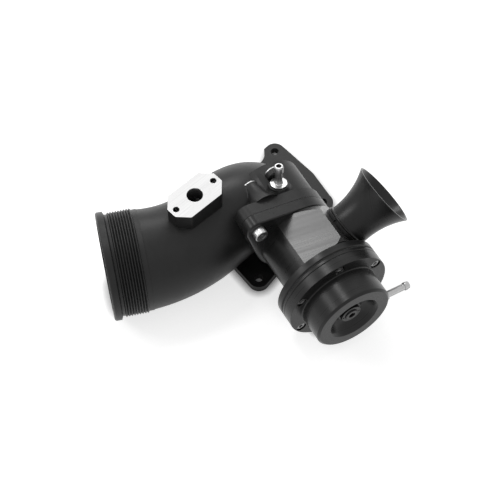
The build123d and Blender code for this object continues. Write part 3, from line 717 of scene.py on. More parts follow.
@dataclass
class Bench:
    """Ways of shaping a piece that every sub-assembly uses.

    Args:
        sides: faces round a large turned piece.
        mid_sides: faces round a nut or a blend.
        small_sides: faces round a screw or a tail.
        hole_sides: faces round a small drilled hole.
        crease: angle, in degrees, past which an edge stays sharp.
        weld: distance within which vertices are one, in millimetres.
    """

    sides: int = 128
    mid_sides: int = 96
    small_sides: int = 48
    hole_sides: int = 24
    crease: float = 32.0
    weld: float = 0.002

    def turn(self, name: str, outline: Sequence[Point], sides: int, ring: bool = True) -> Piece:
        """Turn a piece about its own Z from one circle, extruded and resized along an outline.

        Args:
            name: the piece's name.
            outline: height and radius of each edge, in millimetres.
            sides: faces round the piece.
            ring: whether the outline closes on itself, and not in two flat ends.

        Returns:
            The piece, standing on the origin.
        """
        clear_selection()
        height, radius = outline[0]
        foot = (0.0, 0.0, height * MM)
        bpy.ops.mesh.primitive_circle_add(vertices=sides, radius=radius * MM, location=foot)
        piece = bpy.context.object
        piece.name = name
        bpy.ops.object.transform_apply()
        with editing():
            for next_height, next_radius in [*outline[1:], *(outline[:1] if ring else [])]:
                rise = (0.0, 0.0, (next_height - height) * MM)
                bpy.ops.mesh.extrude_edges_move(TRANSFORM_OT_translate={"value": rise})
                grow = (next_radius / radius, next_radius / radius, 1.0)
                middle = (0.0, 0.0, next_height * MM)
                bpy.ops.transform.resize(value=grow, center_override=middle)
                height, radius = next_height, next_radius
            bpy.ops.mesh.select_all(action="SELECT")
            bpy.ops.mesh.remove_doubles(threshold=self.weld * MM)
            if not ring:
                bpy.ops.mesh.fill_holes(sides=0)
            bpy.ops.mesh.normals_make_consistent(inside=False)
        return piece

    def rod(self, radius: float, low: float, high: float, sides: int, at: Point = (0, 0)) -> Piece:
        """Make an upright rod that cuts a hole.

        Args:
            radius: its radius, in millimetres.
            low: height of its foot.
            high: height of its top.
            sides: faces round it.
            at: where it stands.

        Returns:
            The rod.
        """
        clear_selection()
        bpy.ops.mesh.primitive_cylinder_add(
            vertices=sides,
            radius=radius * MM,
            depth=(high - low) * MM,
            location=(at[0] * MM, at[1] * MM, (low + high) / 2 * MM),
        )
        return bpy.context.object

    def hexagon(self, across: float, low: float, high: float) -> Piece:
        """Make the cutter of a hexagon socket.

        Args:
            across: size of the key, in millimetres.
            low: height of its floor.
            high: height that it reaches, past the face.

        Returns:
            The cutter.
        """
        cutter = self.rod(across / math.sqrt(3), low, high, sides=6)
        bpy.ops.object.transform_apply()
        return cutter

    def soften(self, piece: Piece, width: float, segments: int = 2) -> None:
        """Round the sharp edges of a piece, and merge what the rounding closes up.

        Args:
            piece: the piece.
            width: width of the rounding, in millimetres.
            segments: faces across it.
        """
        choose(piece)
        bevel = piece.modifiers.new("soften", "BEVEL")
        bevel.width = width * MM
        bevel.segments = segments
        bevel.limit_method = "ANGLE"
        bevel.angle_limit = math.radians(self.crease)
        bpy.ops.object.modifier_apply(modifier=bevel.name)
        with editing():
            bpy.ops.mesh.remove_doubles(threshold=self.weld * MM)

    def cut(self, piece: Piece, *cutters: Piece, fuse: bool = False) -> None:
        """Cut closed shapes out of a piece, or fuse them to it, and throw them away.

        Args:
            piece: the piece.
            cutters: what is taken out of it or added to it.
            fuse: whether they are added.
        """
        for cutter in cutters:
            choose(piece)
            hole = piece.modifiers.new("hole", "BOOLEAN")
            hole.operation = "UNION" if fuse else "DIFFERENCE"
            hole.object = cutter
            bpy.ops.object.modifier_apply(modifier=hole.name)
            choose(cutter)
            bpy.ops.object.delete()

    def place(self, piece: Piece, *places: Matrix) -> Piece:
        """Put copies of a piece in their places and make them one object at the origin.

        Args:
            piece: the piece, standing on the origin.
            places: where each copy goes.

        Returns:
            The finished object, shaded smooth up to the crease.
        """
        copies = [piece]
        for _ in places[1:]:
            copy = piece.copy()
            copy.data = piece.data.copy()
            bpy.context.scene.collection.objects.link(copy)
            copies.append(copy)
        for copy, place in zip(copies, places):
            copy.matrix_world = place
        choose(*copies)
        bpy.ops.object.transform_apply(location=True, rotation=True, scale=True)
        if len(copies) > 1:
            bpy.ops.object.join()
        self.shade(piece)
        return piece

    def crease_only(self, piece: Piece) -> None:
        """Shade a piece smooth up to the crease."""
        choose(piece)
        bpy.ops.object.shade_smooth_by_angle(angle=math.radians(self.crease))

    def shade(self, piece: Piece) -> None:
        """Shade a piece smooth up to the crease, with each large face keeping its own normal.

        Args:
            piece: the piece.
        """
        self.crease_only(piece)
        even = piece.modifiers.new("even", "WEIGHTED_NORMAL")
        even.keep_sharp = True
        bpy.ops.object.modifier_apply(modifier=even.name)

    def skin(self, node: str, name: str) -> Piece:
        """Copy the mesh of a CAD node into a new piece that can have more than one finish.

        Args:
            node: the CAD node.
            name: name of the new piece.

        Returns:
            The piece, with its triangles merged and its own shading.
        """
        piece = bpy.data.objects.new(name, frame["nodes"][node].data.copy())
        bpy.context.scene.collection.objects.link(piece)
        for key in [key for key in piece.data.keys() if key.startswith("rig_")]:
            del piece.data[key]
        choose(piece)
        bpy.ops.mesh.customdata_custom_splitnormals_clear()
        with editing():
            bpy.ops.mesh.remove_doubles(threshold=self.weld * MM)
        self.crease_only(piece)
        return piece


def give_faces(piece: Piece, plain: Material, other: Material, rule: Rule) -> None:
    """Give the faces that a rule picks another finish than the rest.

    Args:
        piece: the piece.
        plain: material of the rest.
        other: material of the picked faces.
        rule: takes a face's middle, in millimetres, and its normal, and tells whether it is picked.
    """
    piece.data.materials.clear()
    piece.data.materials.append(plain)
    piece.data.materials.append(other)
    for face in piece.data.polygons:
        face.material_index = int(rule(face.center / MM, face.normal))


def flare(
    start: Point, end: Point, lead: float, trail: float, slope: float, steps: int
) -> list[Point]:
    """Sample the curve of a trumpet wall, which leaves its neck level.

    Args:
        start: height and radius at the neck.
        end: height and radius at the mouth.
        lead: share of the run that the first handle takes.
        trail: length of the last handle, in millimetres.
        slope: rise of the wall at the mouth.
        steps: rings along it.

    Returns:
        Height and radius of each ring, both ends included.
    """
    (low, neck), (high, mouth) = start, end
    handles = start, (low + (high - low) * lead, neck), (high - trail, mouth - trail * slope), end
    rings = []
    for step in range(steps + 1):
        t = step / steps
        shares = (1 - t) ** 3, 3 * t * (1 - t) ** 2, 3 * t * t * (1 - t), t**3
        pairs = list(zip(shares, handles))
        rings.append(tuple(sum(share * point[k] for share, point in pairs) for k in (0, 1)))
    return rings


@dataclass
class Assembly:
    """Sub-assembly that is made anew.

    Args:
        bench: the tools that shape its pieces.
        wardrobe: the materials that dress them.
    """

    bench: Bench
    wardrobe: Wardrobe

    def build(self) -> None:
        """Make every piece of the sub-assembly."""
        raise NotImplementedError

    def fit(
        self,
        piece: Piece,
        places: Sequence[Matrix],
        slot: Slot,
        *nodes: str,
        body: Body | None = Body.FIXED,
    ) -> None:
        """Put copies of a piece in their places and hand it over.

        Args:
            piece: the piece, standing on the origin.
            places: where each copy goes.
            slot: slot of its finish.
            nodes: CAD nodes that it stands for.
            body: body that it rides on, or None where it is blended between two.
        """
        self.bench.place(piece, *places)
        self.wardrobe.hand_over(piece, slot, *nodes, body=body)


@dataclass
class Casting(Assembly):
    """Cast elbow, whose sealing faces, screw holes and boss ends are machined bright.

    Args:
        pad_top: height of the sensor face.
        pad_low: lowest height of a bore that is machined from the sensor face.
        pad_middle: middle of the sensor face.
        bores: offset of each bore from that middle along X, and the reach of its wall.
        face_off: how far a machined face may lie from its own height.
        across: most that a bore's wall may lean.
        thread_r: radius at the root of the sensor thread.
        thread_depth: depth of the thread.
        thread_pitch: pitch of the thread.
        thread_turns: ridges of the thread.
        thread_start: depth of the first ridge below the sensor face.
        thread_fill: share of the pitch that a ridge takes.
        thread_gap: gap between a ridge's foot and the root.
        flange_t: thickness of the engine flange.
        notch_r: radius of the hollow beside the far ear.
        notch_middle: centre of that hollow's round end.
        notch_run: how far the hollow runs on towards -X.
        notch_z: height of the foot and of the top of its cutter.
        bulge: outline of the right edge that bows out, seen from above.
        boss_back: station of the faced ends of the two bosses.
        bosses: distance and angle of each boss from the valve's axis.
        boss_cap: outline of the bright end of a boss.
        hump: outline of the soft hump of the first boss.
        skirt: outline of the skirt under the hose tail.
        tail_seat: station, side step and height of the hose tail's seat.
        tail_lean: lean of the hose tail from upright, in degrees.
        tail_heading: direction that it leans in, in degrees from X.
    """

    pad_top: float = 92.0
    pad_low: float = 64.0
    pad_middle: Point = (-59.5, 4.7)
    bores: tuple[Point, ...] = ((0.0, 6.3), (18.0, 2.7), (-18.0, 2.7))
    face_off: float = 0.3
    across: float = 0.35
    thread_r: float = 5.95
    thread_depth: float = 0.45
    thread_pitch: float = 1.5
    thread_turns: int = 8
    thread_start: float = 1.0
    thread_fill: float = 0.98
    thread_gap: float = 0.05
    flange_t: float = 6.0
    notch_r: float = 13.4
    notch_middle: Point = (33.4, 49.6)
    notch_run: float = 60.0
    notch_z: Point = (-5.4, 6.6)
    bulge: tuple[Point, ...] = (
        (58.0, 36.0), (57.4, 0.0), (52.2, -23.5), (40.0, -20.0), (40.0, 30.0),
    )
    boss_back: float = 9.0
    bosses: tuple[Point, ...] = ((31.0, 121.0), (31.0, 84.0))
    boss_cap: tuple[Point, ...] = ((-0.5, 2.0), (-0.5, 6.15), (0.3, 6.15), (1.1, 5.3), (1.1, 2.0))
    hump: tuple[Point, ...] = (
        (-0.5, 5.9), (-4.0, 6.2), (-8.0, 7.0), (-12.0, 8.4), (-16.0, 10.4), (-21.5, 14.0),
    )
    skirt: tuple[Point, ...] = (
        (-0.1, 7.6), (-1.4, 8.1), (-2.9, 9.2), (-4.3, 10.8),
        (-5.7, 12.9), (-7.4, 15.2), (-9.5, 17.2), (-13.0, 18.0),
    )
    tail_seat: Triple = (21.0, 4.0, 74.0)
    tail_lean: float = 14.0
    tail_heading: float = 45.0

    def build(self) -> None:
        """Copy the casting, shape and dress it, and add its thread and the ends of its bosses."""
        piece = self.bench.skin("elbow_casting", "elbow_skin")
        self._flange(piece)
        self._blends(piece)
        self.bench.crease_only(piece)
        cast = self.wardrobe.materials[Slot.CAST]
        give_faces(piece, cast, self.wardrobe.milled, self._machined)
        self.wardrobe.hand_over(piece, Slot.CAST, "elbow_casting")
        self._thread()
        caps = self.bench.turn("boss_caps", self.boss_cap, self.bench.small_sides)
        self.fit(caps, [self._boss(*place).matrix() for place in self.bosses], Slot.MACHINED)

    def tail_axis(self) -> Axis:
        """Find where the hose tail stands.

        Returns:
            Its axis, from its seat upwards.
        """
        station, step, height = self.tail_seat
        foot = (VALVE.along * station + VALVE.out(0.0) * step + VALVE.up * height) * MM
        lean, heading = math.radians(self.tail_lean), math.radians(self.tail_heading)
        away = Vector((math.cos(heading), math.sin(heading), 0.0))
        upwards = VALVE.up * math.cos(lean) + away * math.sin(lean)
        return Axis(foot, upwards, away.cross(VALVE.up))

    def _boss(self, radius: float, angle: float) -> Axis:
        """Return the axis of the boss at this place, from its end backwards out of the casting."""
        end = VALVE.polar(self.boss_back, radius, angle).translation
        return Axis(end, -VALVE.along, VALVE.up)

    def _flange(self, piece: Piece) -> None:
        """Hollow the engine flange beside its far ear, and let its right edge bow out.

        Args:
            piece: the casting.
        """
        notch = self.bench.rod(self.notch_r, *self.notch_z, self.bench.mid_sides, self.notch_middle)
        bpy.ops.object.transform_apply()
        for point in notch.data.vertices:
            if point.co.x < self.notch_middle[0] * MM:
                point.co.x -= self.notch_run * MM
        self.bench.cut(piece, notch)
        clear_selection()
        bpy.ops.mesh.primitive_circle_add(vertices=len(self.bulge))
        edge = bpy.context.object
        for point, (x, y) in zip(edge.data.vertices, self.bulge):
            point.co = (x * MM, y * MM, 0.0)
        rise = (0.0, 0.0, self.flange_t * MM)
        with editing():
            bpy.ops.mesh.edge_face_add()
            bpy.ops.mesh.extrude_region_move(TRANSFORM_OT_translate={"value": rise})
            bpy.ops.mesh.select_all(action="SELECT")
            bpy.ops.mesh.normals_make_consistent(inside=False)
        self.bench.cut(piece, edge, fuse=True)

    def _blends(self, piece: Piece) -> None:
        """Fuse the soft cast hump of the first boss and the skirt under the hose tail.

        Args:
            piece: the casting.
        """
        hump = self.bench.turn("hump", self.hump, self.bench.small_sides, ring=False)
        self.bench.place(hump, self._boss(*self.bosses[0]).matrix())
        skirt = self.bench.turn("skirt", self.skirt, self.bench.mid_sides, ring=False)
        self.bench.place(skirt, self.tail_axis().matrix())
        self.bench.cut(piece, hump, skirt, fuse=True)

    def _machined(self, middle: Vector, normal: Vector) -> bool:
        """Tell whether a face is one that a cutter has been over.

        Args:
            middle: the middle of the face, in millimetres.
            normal: its direction.

        Returns:
            True for the sensor face and its bores, the engine face and the ends of the bosses.
        """
        station = (middle - VALVE.foot / MM).dot(VALVE.along)
        upright = abs(normal.z) < self.across and self.pad_low < middle.z < self.pad_top
        backwards = normal.dot(VALVE.along) < self.across - 1
        return (
            middle.z > self.pad_top - self.face_off
            or upright and self._faces_bore(middle.xy - Vector(self.pad_middle), normal.xy)
            or middle.z < self.face_off and normal.z < 0
            or abs(station - self.boss_back) < self.face_off and backwards
        )

    def _faces_bore(self, off: Vector, normal: Vector) -> bool:
        """Tell whether a wall this far from the middle of the pad faces one of its bores."""
        gaps = [(off - Vector((middle, 0.0)), reach) for middle, reach in self.bores]
        return any(gap.length < reach and gap.dot(normal) < 0 for gap, reach in gaps)

    def _thread(self) -> None:
        """Turn the ridges of the sensor thread inside its bore."""
        outer, inner = self.thread_r, self.thread_r - self.thread_depth
        high, pitch = self.pad_top - self.thread_start, self.thread_pitch
        outline = [(high - pitch * self.thread_turns, outer), (high, outer)]
        for top in (high - pitch * turn for turn in range(self.thread_turns)):
            foot = top - pitch * self.thread_fill
            outline += [(top - pitch / 2, inner), (foot, outer - self.thread_gap)]
        thread = self.bench.turn("sensor_thread", outline, self.bench.small_sides)
        place = Matrix.Translation((*(MM * at for at in self.pad_middle), 0.0))
        # The thread's dark black steel finish is painted shade: it keeps the deep sensor bore dark, where a thread cut
        # in the alloy would be bright.
        self.fit(thread, [place], Slot.BLACK_STEEL)


@dataclass
class BodyShell(Assembly):
    """Body of the valve, whose outlet block is milled flat with straight marks.

    Args:
        flat: least part of a normal that lies square to a milled face.
        half: least distance of a milled face from the axis, in millimetres.
        turned_back: station past which nothing is milled.
    """

    flat: float = 0.985
    half: float = 28.5
    turned_back: float = 91.0

    def build(self) -> None:
        """Copy the body and give its flats the milled finish."""
        piece = self.bench.skin("valve_body", "body_shell")
        plain = self.wardrobe.materials[Slot.ANODISED]
        give_faces(piece, plain, self.wardrobe.milled_black, self._milled)
        self.wardrobe.hand_over(piece, Slot.ANODISED, "valve_body")

    def _milled(self, middle: Vector, normal: Vector) -> bool:
        """Tell whether a face belongs to the block's two sides or its top.

        Args:
            middle: the middle of the face, in millimetres.
            normal: its direction.

        Returns:
            True for a flat that runs along the valve and lies as far out as the block's faces.
        """
        out = VALVE.out(OUTLET)
        side = out.cross(VALVE.along)
        off = middle - VALVE.foot / MM
        if off.dot(VALVE.along) > self.turned_back or off.dot(out) <= 0:
            return False
        ways = out, side, -side
        return any(normal.dot(way) > self.flat and off.dot(way) > self.half for way in ways)


@dataclass
class ClampPlate(Assembly):
    """Two bolt flange under the valve, with its edges broken.

    Args:
        edge: width of its chamfers, in millimetres.
        flat: angle, in degrees, below which neighbouring triangles are one face.
    """

    edge: float = 0.5
    flat: float = 0.5

    def build(self) -> None:
        """Copy the flange, merge its flat faces and break its edges."""
        piece = self.bench.skin("base_flange", "clamp_plate")
        with editing():
            bpy.ops.mesh.dissolve_limited(angle_limit=math.radians(self.flat))
        self.bench.soften(piece, self.edge, segments=1)
        self.bench.shade(piece)
        piece.data.materials.clear()
        self.wardrobe.hand_over(piece, Slot.ANODISED, "base_flange")


@dataclass
class SocketScrew(Assembly):
    """Socket head cap screw with a knurled head.

    Args:
        name: name of its piece.
        node: CAD node that it stands for.
        thread_r: radius of the shank.
        head_r: radius of the head.
        head_h: height of the head.
        key: size of its hexagon key.
        shank: length under the head.
        seat: station that the head sits on.
        pitch_r: radius that the screws lie on.
        angles: where each one is round the valve, in degrees.
        chamfer: chamfer of the shank's end, as a share of the thread's radius.
        knurl: radius of the knurl's hollows, as a share of the head's.
        knurl_run: where the knurl begins and ends, as shares of the head's height.
        proud: share of the head's radius past which a vertex lies on its side.
    """

    name: str
    node: str
    thread_r: float
    head_r: float
    head_h: float
    key: float
    shank: float
    seat: float
    pitch_r: float
    angles: tuple[float, ...]
    chamfer: float = 0.2
    knurl: float = 0.96
    knurl_run: Point = (0.12, 0.80)
    proud: float = 0.998

    def build(self) -> None:
        """Turn one screw, knurl it, cut its socket and copy it round the valve."""
        edge, top = self.thread_r * self.chamfer, self.head_h
        low, high = (top * share for share in self.knurl_run)
        outline = [
            (-self.shank, self.thread_r - edge), (edge - self.shank, self.thread_r),
            (0.0, self.thread_r), (0.0, self.head_r * self.knurl),
            (low, self.head_r), (high, self.head_r),
            (top - edge / 2, self.head_r * self.knurl), (top, self.head_r - edge * 1.5),
        ]
        screw = self.bench.turn(self.name, outline, self.bench.small_sides, ring=False)
        self._knurl(screw)
        self.bench.cut(screw, self.bench.hexagon(self.key, top / 2, top + edge))
        self.bench.soften(screw, edge / 8, segments=1)
        places = [VALVE.polar(self.seat, self.pitch_r, angle) for angle in self.angles]
        self.fit(screw, places, Slot.STEEL, self.node)

    def _knurl(self, screw: Piece) -> None:
        """Press every second line of the head's side inwards.

        Args:
            screw: the turned screw.
        """
        choose(screw)
        bpy.ops.object.mode_set(mode="EDIT")
        bpy.ops.mesh.select_all(action="DESELECT")
        bpy.ops.object.mode_set(mode="OBJECT")
        step = 2 * math.pi / self.bench.small_sides
        for point in screw.data.vertices:
            line = round(math.atan2(point.co.y, point.co.x) / step)
            point.select = line % 2 == 1 and point.co.xy.length > self.head_r * MM * self.proud
        bpy.ops.object.mode_set(mode="EDIT")
        press = (self.knurl, self.knurl, 1.0)
        bpy.ops.transform.resize(value=press, center_override=(0.0, 0.0, 0.0))
        bpy.ops.object.mode_set(mode="OBJECT")


@dataclass
class HoseTail(Assembly):
    """Barbed hose tail, bored through.

    Args:
        name: name of its piece.
        node: CAD node that it stands for.
        axis: its axis, from the seat of its collar outwards.
        reach: length from the seat to the tip.
        stub: threaded length below the seat.
        tube_r: radius of the tube.
        barb_r: radius of the barb.
        collar_r: radius of the collar.
        collar_t: thickness of the collar.
        land: length of the barb's straight part.
        slope: length of the cone past it.
        tip_r: radius at the tip.
        bore_r: radius of the bore.
        edge: width of the rounding of its edges.
    """

    name: str
    node: str
    axis: Axis
    reach: float
    stub: float
    tube_r: float
    barb_r: float
    collar_r: float
    collar_t: float
    land: float
    slope: float
    tip_r: float
    bore_r: float = 1.9
    edge: float = 0.22

    def build(self) -> None:
        """Turn the tail and round its edges."""
        barb, tube_r, root = self.reach - self.slope - self.land, self.tube_r, self.edge * 2
        outline = [
            (-self.stub, self.bore_r), (-self.stub, tube_r),
            (0.0, tube_r), (0.0, self.collar_r),
            (self.collar_t, self.collar_r), (self.collar_t, tube_r + root),
            (self.collar_t + root, tube_r), (barb, tube_r),
            (barb, self.barb_r), (barb + self.land, self.barb_r),
            (self.reach, self.tip_r), (self.reach, self.bore_r),
        ]
        tail = self.bench.turn(self.name, outline, self.bench.small_sides)
        self.bench.soften(tail, self.edge)
        self.fit(tail, [self.axis.matrix()], Slot.MACHINED, self.node)


@dataclass
class Trumpet(Assembly):
    """Side trumpet with its threaded spigot, and the ring that locks it.

    Args:
        station: station of its axis.
        foot: height of the spigot's end above the valve's axis.
        boss_top: height of the boss face.
        ring_t: thickness of the lock ring.
        ring_r: radius of the lock ring.
        spigot_r: radius of the spigot.
        bore_r: radius of the bore.
        groove: low and high side of the seal groove, and its radius.
        shoulder_r: radius of the shoulder that the ring bears on.
        shoulder_t: thickness of that shoulder.
        neck_r: radius of the neck.
        neck_top: height where the flare begins.
        wall: thickness of the flared wall.
        mouth_r: radius of the rim.
        mouth: height of the rim.
        lead: share of the flare that its first handle takes.
        trail: length of its last handle.
        slope: rise of the wall at the rim.
        steps: rings along the flare.
        lip: width of the rounding of its edges.
        clear: gap between the ring and the spigot.
        notches: spanner notches of the ring.
        notch_r: radius of a notch.
    """

    station: float = 71.0
    foot: float = 28.0
    boss_top: float = 33.0
    ring_t: float = 2.6
    ring_r: float = 18.4
    spigot_r: float = 15.0
    bore_r: float = 12.0
    groove: Triple = (29.35, 31.85, 13.1)
    shoulder_r: float = 17.8
    shoulder_t: float = 1.6
    neck_r: float = 16.8
    neck_top: float = 40.2
    wall: float = 1.8
    mouth_r: float = 25.5
    mouth: float = 72.0
    lead: float = 0.4
    trail: float = 8.0
    slope: float = 0.62
    steps: int = 20
    lip: float = 0.5
    clear: float = 0.05
    notches: int = 4
    notch_r: float = 1.2

    def build(self) -> None:
        """Turn the trumpet and its ring on the axis of the side outlet."""
        places = [VALVE.branch(self.station, OUTLET).matrix()]
        ring_top = self.boss_top + self.ring_t
        step_top = ring_top + self.shoulder_t
        low, high, groove_r = self.groove
        shape = self.lead, self.trail, self.slope, self.steps
        outside, inside = (
            flare((self.neck_top, self.neck_r - wall), (self.mouth, self.mouth_r - wall), *shape)
            for wall in (0.0, self.wall)
        )
        outline = [
            (self.foot, self.bore_r), (self.foot, self.spigot_r), (low, self.spigot_r),
            (low, groove_r), (high, groove_r), (high, self.spigot_r), (ring_top, self.spigot_r),
            (ring_top, self.shoulder_r), (step_top, self.shoulder_r), (step_top, self.neck_r),
            *outside, *reversed(inside), (ring_top, self.bore_r),
        ]
        horn = self.bench.turn("trumpet", outline, self.bench.sides)
        self.bench.soften(horn, self.lip, segments=3)
        self.fit(horn, places, Slot.ANODISED, "horn")
        self._ring(places)

    def _ring(self, places: Sequence[Matrix]) -> None:
        """Turn the lock ring and cut its spanner notches.

        Args:
            places: where the trumpet stands.
        """
        low, high = self.boss_top, self.boss_top + self.ring_t
        inner, outer = self.spigot_r + self.clear, self.ring_r
        outline = [(low, inner), (low, outer), (high, outer), (high, inner)]
        ring = self.bench.turn("trumpet_lock_ring", outline, self.bench.sides)
        self.bench.soften(ring, self.lip / 2)
        ends = low - self.ring_t / 2, high + self.ring_t / 2
        for notch in range(self.notches):
            turn = 2 * math.pi * notch / self.notches
            at = outer * math.cos(turn), outer * math.sin(turn)
            self.bench.cut(ring, self.bench.rod(self.notch_r, *ends, self.bench.hole_sides, at))
        self.fit(ring, places, Slot.ANODISED, "horn_lock_ring")


@dataclass
class CapEnd(Assembly):
    """Cap, with its counterbored flange, and the lock nut and adjuster in its recess.

    Args:
        back: station of the cap's back face.
        flange_front: station of the front of its flange.
        front: station of its front face.
        bowl_r: radius of the bowl in its back.
        bowl_depth: depth of that bowl.
        flange_r: radius of its flange.
        barrel_r: radius of its barrel.
        chamfer: chamfer of its front edge.
        root: blend between flange and barrel.
        root_mid: share of the blend that its middle stands out.
        recess_r: radius of the recess in its front.
        recess_depth: depth of the recess.
        recess_chamfer: chamfer of the recess's edge.
        dish: height over the recess's floor and radius of each ring of its wall and floor.
        boss_r: radius of the boss in the recess.
        boss_h: height of that boss.
        bore_r: radius of the spring's bore.
        crown: thickness of the cap behind the recess's floor.
        screw_pitch_r: radius that the screws lie on.
        counterbore_r: radius of a screw's counterbore.
        counterbore_depth: depth of a counterbore.
        screw_hole_r: radius of a screw's hole.
        tail_station: station of the hose tail.
        tail_angle: direction of the hose tail round the valve, in degrees.
        tail_hole_r: radius of the tail's hole.
        tail_seat_r: radius of the tail's seat.
        tail_seat: distance of that seat from the valve's axis.
        edge: width of the rounding of edges.
        adjuster_r: radius of the adjuster.
        adjuster_clear: gap round the adjuster.
        adjuster_back: station of the adjuster's back end.
        adjuster_front: station of its front end.
        adjuster_key: size of its hexagon key.
        adjuster_socket: depth of its socket.
        seal_groove: low and high side of its seal groove, and the groove's radius.
        nut_r: radius of the lock nut.
        nut_t: thickness of the lock nut.
        spanner_r: radius of a spanner hole.
        past: how far a cutter reaches past the face that it cuts.
    """

    back: float = 100.6
    flange_front: float = 109.0
    front: float = 131.0
    bowl_r: float = 27.0
    bowl_depth: float = 6.0
    flange_r: float = 40.5
    barrel_r: float = 30.5
    chamfer: float = 1.6
    root: float = 1.0
    root_mid: float = 0.3
    recess_r: float = 19.0
    recess_depth: float = 9.0
    recess_chamfer: float = 1.2
    dish: tuple[Point, ...] = (
        (6.2, 18.2), (4.0, 16.9), (2.2, 15.4), (0.9, 13.7), (0.2, 12.2),
        (0.0, 11.4), (0.7, 11.2), (0.7, 10.2), (0.0, 10.0),
    )
    boss_r: float = 9.5
    boss_h: float = 2.5
    bore_r: float = 20.5
    crown: float = 4.2
    screw_pitch_r: float = 35.9
    counterbore_r: float = 3.9
    counterbore_depth: float = 4.4
    screw_hole_r: float = 2.25
    tail_station: float = 125.0
    tail_angle: float = -5.0
    tail_hole_r: float = 2.55
    tail_seat_r: float = 3.95
    tail_seat: float = 30.1
    edge: float = 0.4
    adjuster_r: float = 5.0
    adjuster_clear: float = 0.05
    adjuster_back: float = 117.5
    adjuster_front: float = 127.9
    adjuster_key: float = 5.0
    adjuster_socket: float = 4.0
    seal_groove: Triple = (123.1, 124.1, 4.0)
    nut_r: float = 8.0
    nut_t: float = 2.4
    spanner_r: float = 0.7
    past: float = 1.0

    def build(self) -> None:
        """Make the cap, its lock nut and its adjuster."""
        self._cap()
        self._lock_nut()
        self._adjuster()

    def screw_seat(self) -> float:
        """Return the station that the heads of the screws sit on."""
        return self.flange_front - self.counterbore_depth

    def tail_axis(self) -> Axis:
        """Return the axis of the hose tail, from its seat outwards."""
        out = VALVE.branch(self.tail_station, self.tail_angle)
        return Axis(out.matrix(self.tail_seat).translation, out.along, out.up)

    def _cap(self) -> None:
        """Turn the cap, then sink its screw holes and the seat of its hose tail."""
        floor = self.front - self.recess_depth
        boss, inside = floor + self.boss_h, floor - self.crown
        bowl, hole_r = self.back + self.bowl_depth, self.adjuster_r + self.adjuster_clear
        flange, barrel_r, root = self.flange_front, self.barrel_r, self.root
        mid = root * self.root_mid
        outline = [
            (self.back, self.bowl_r), (self.back, self.flange_r), (flange, self.flange_r),
            (flange, barrel_r + root), (flange + mid, barrel_r + mid), (flange + root, barrel_r),
            (self.front - self.chamfer, barrel_r), (self.front, barrel_r - self.chamfer),
            (self.front, self.recess_r + self.recess_chamfer),
            (self.front - self.recess_chamfer, self.recess_r),
            *((floor + rise, radius) for rise, radius in self.dish),
            (floor, self.boss_r), (boss, self.boss_r), (boss, hole_r), (inside, hole_r),
            (inside, self.bore_r), (bowl, self.bore_r), (bowl, self.bowl_r),
        ]
        cap = self.bench.turn("cap_turned", outline, self.bench.sides)
        self.bench.soften(cap, self.edge)
        self.bench.place(cap, VALVE.matrix())
        seat = self.screw_seat()
        screw = [
            (self.back - self.past, self.screw_hole_r), (seat, self.screw_hole_r),
            (seat, self.counterbore_r), (flange + self.past, self.counterbore_r),
        ]
        for angle in CAP_SCREWS:
            self._sink(cap, screw, VALVE.polar(0.0, self.screw_pitch_r, angle))
        tail = [
            (self.bore_r + self.past * 2, self.tail_hole_r), (self.tail_seat, self.tail_hole_r),
            (self.tail_seat, self.tail_seat_r), (barrel_r + self.past, self.tail_seat_r),
        ]
        self._sink(cap, tail, VALVE.branch(self.tail_station, self.tail_angle).matrix())
        self.bench.shade(cap)
        self.wardrobe.hand_over(cap, Slot.ANODISED, "cap")

    def _sink(self, cap: Piece, outline: Sequence[Point], place: Matrix) -> None:
        """Sink one stepped hole in the cap.

        Args:
            cap: the cap, in its place.
            outline: height and radius of each step of the hole.
            place: where the hole is.
        """
        hole = self.bench.turn("stepped_hole", outline, self.bench.small_sides, ring=False)
        self.bench.cut(cap, self.bench.place(hole, place))

    def _lock_nut(self) -> None:
        """Turn the lock nut and drill its two spanner holes."""
        low = self.front - self.recess_depth + self.boss_h
        high, inner = low + self.nut_t, self.adjuster_r + self.adjuster_clear
        outline = [(low, inner), (low, self.nut_r), (high, self.nut_r), (high, inner)]
        nut = self.bench.turn("round_lock_nut", outline, self.bench.mid_sides)
        self.bench.soften(nut, self.edge)
        ends = high - self.nut_t / 2, high + self.nut_t / 2
        for side in (-1, 1):
            at = side * (self.nut_r + self.adjuster_r) / 2, 0.0
            self.bench.cut(nut, self.bench.rod(self.spanner_r, *ends, self.bench.hole_sides, at))
        self.fit(nut, [VALVE.matrix()], Slot.ANODISED, "lock_nut")

    def _adjuster(self) -> None:
        """Turn the adjuster with its seal groove and cut its socket."""
        low, high, groove_r = self.seal_groove
        top, edge, outer = self.adjuster_front, self.edge, self.adjuster_r
        outline = [
            (self.adjuster_back, outer), (low, outer), (low, groove_r), (high, groove_r),
            (high, outer), (top - edge, outer), (top, outer - edge),
        ]
        screw = self.bench.turn("adjuster", outline, self.bench.small_sides, ring=False)
        ends = top - self.adjuster_socket, top + self.past
        self.bench.cut(screw, self.bench.hexagon(self.adjuster_key, *ends))
        self.bench.soften(screw, edge / 4, segments=1)
        places = [VALVE.matrix()]
        self.fit(screw, places, Slot.BLACK_STEEL, "adjuster_screw", body=Body.ADJUSTER)


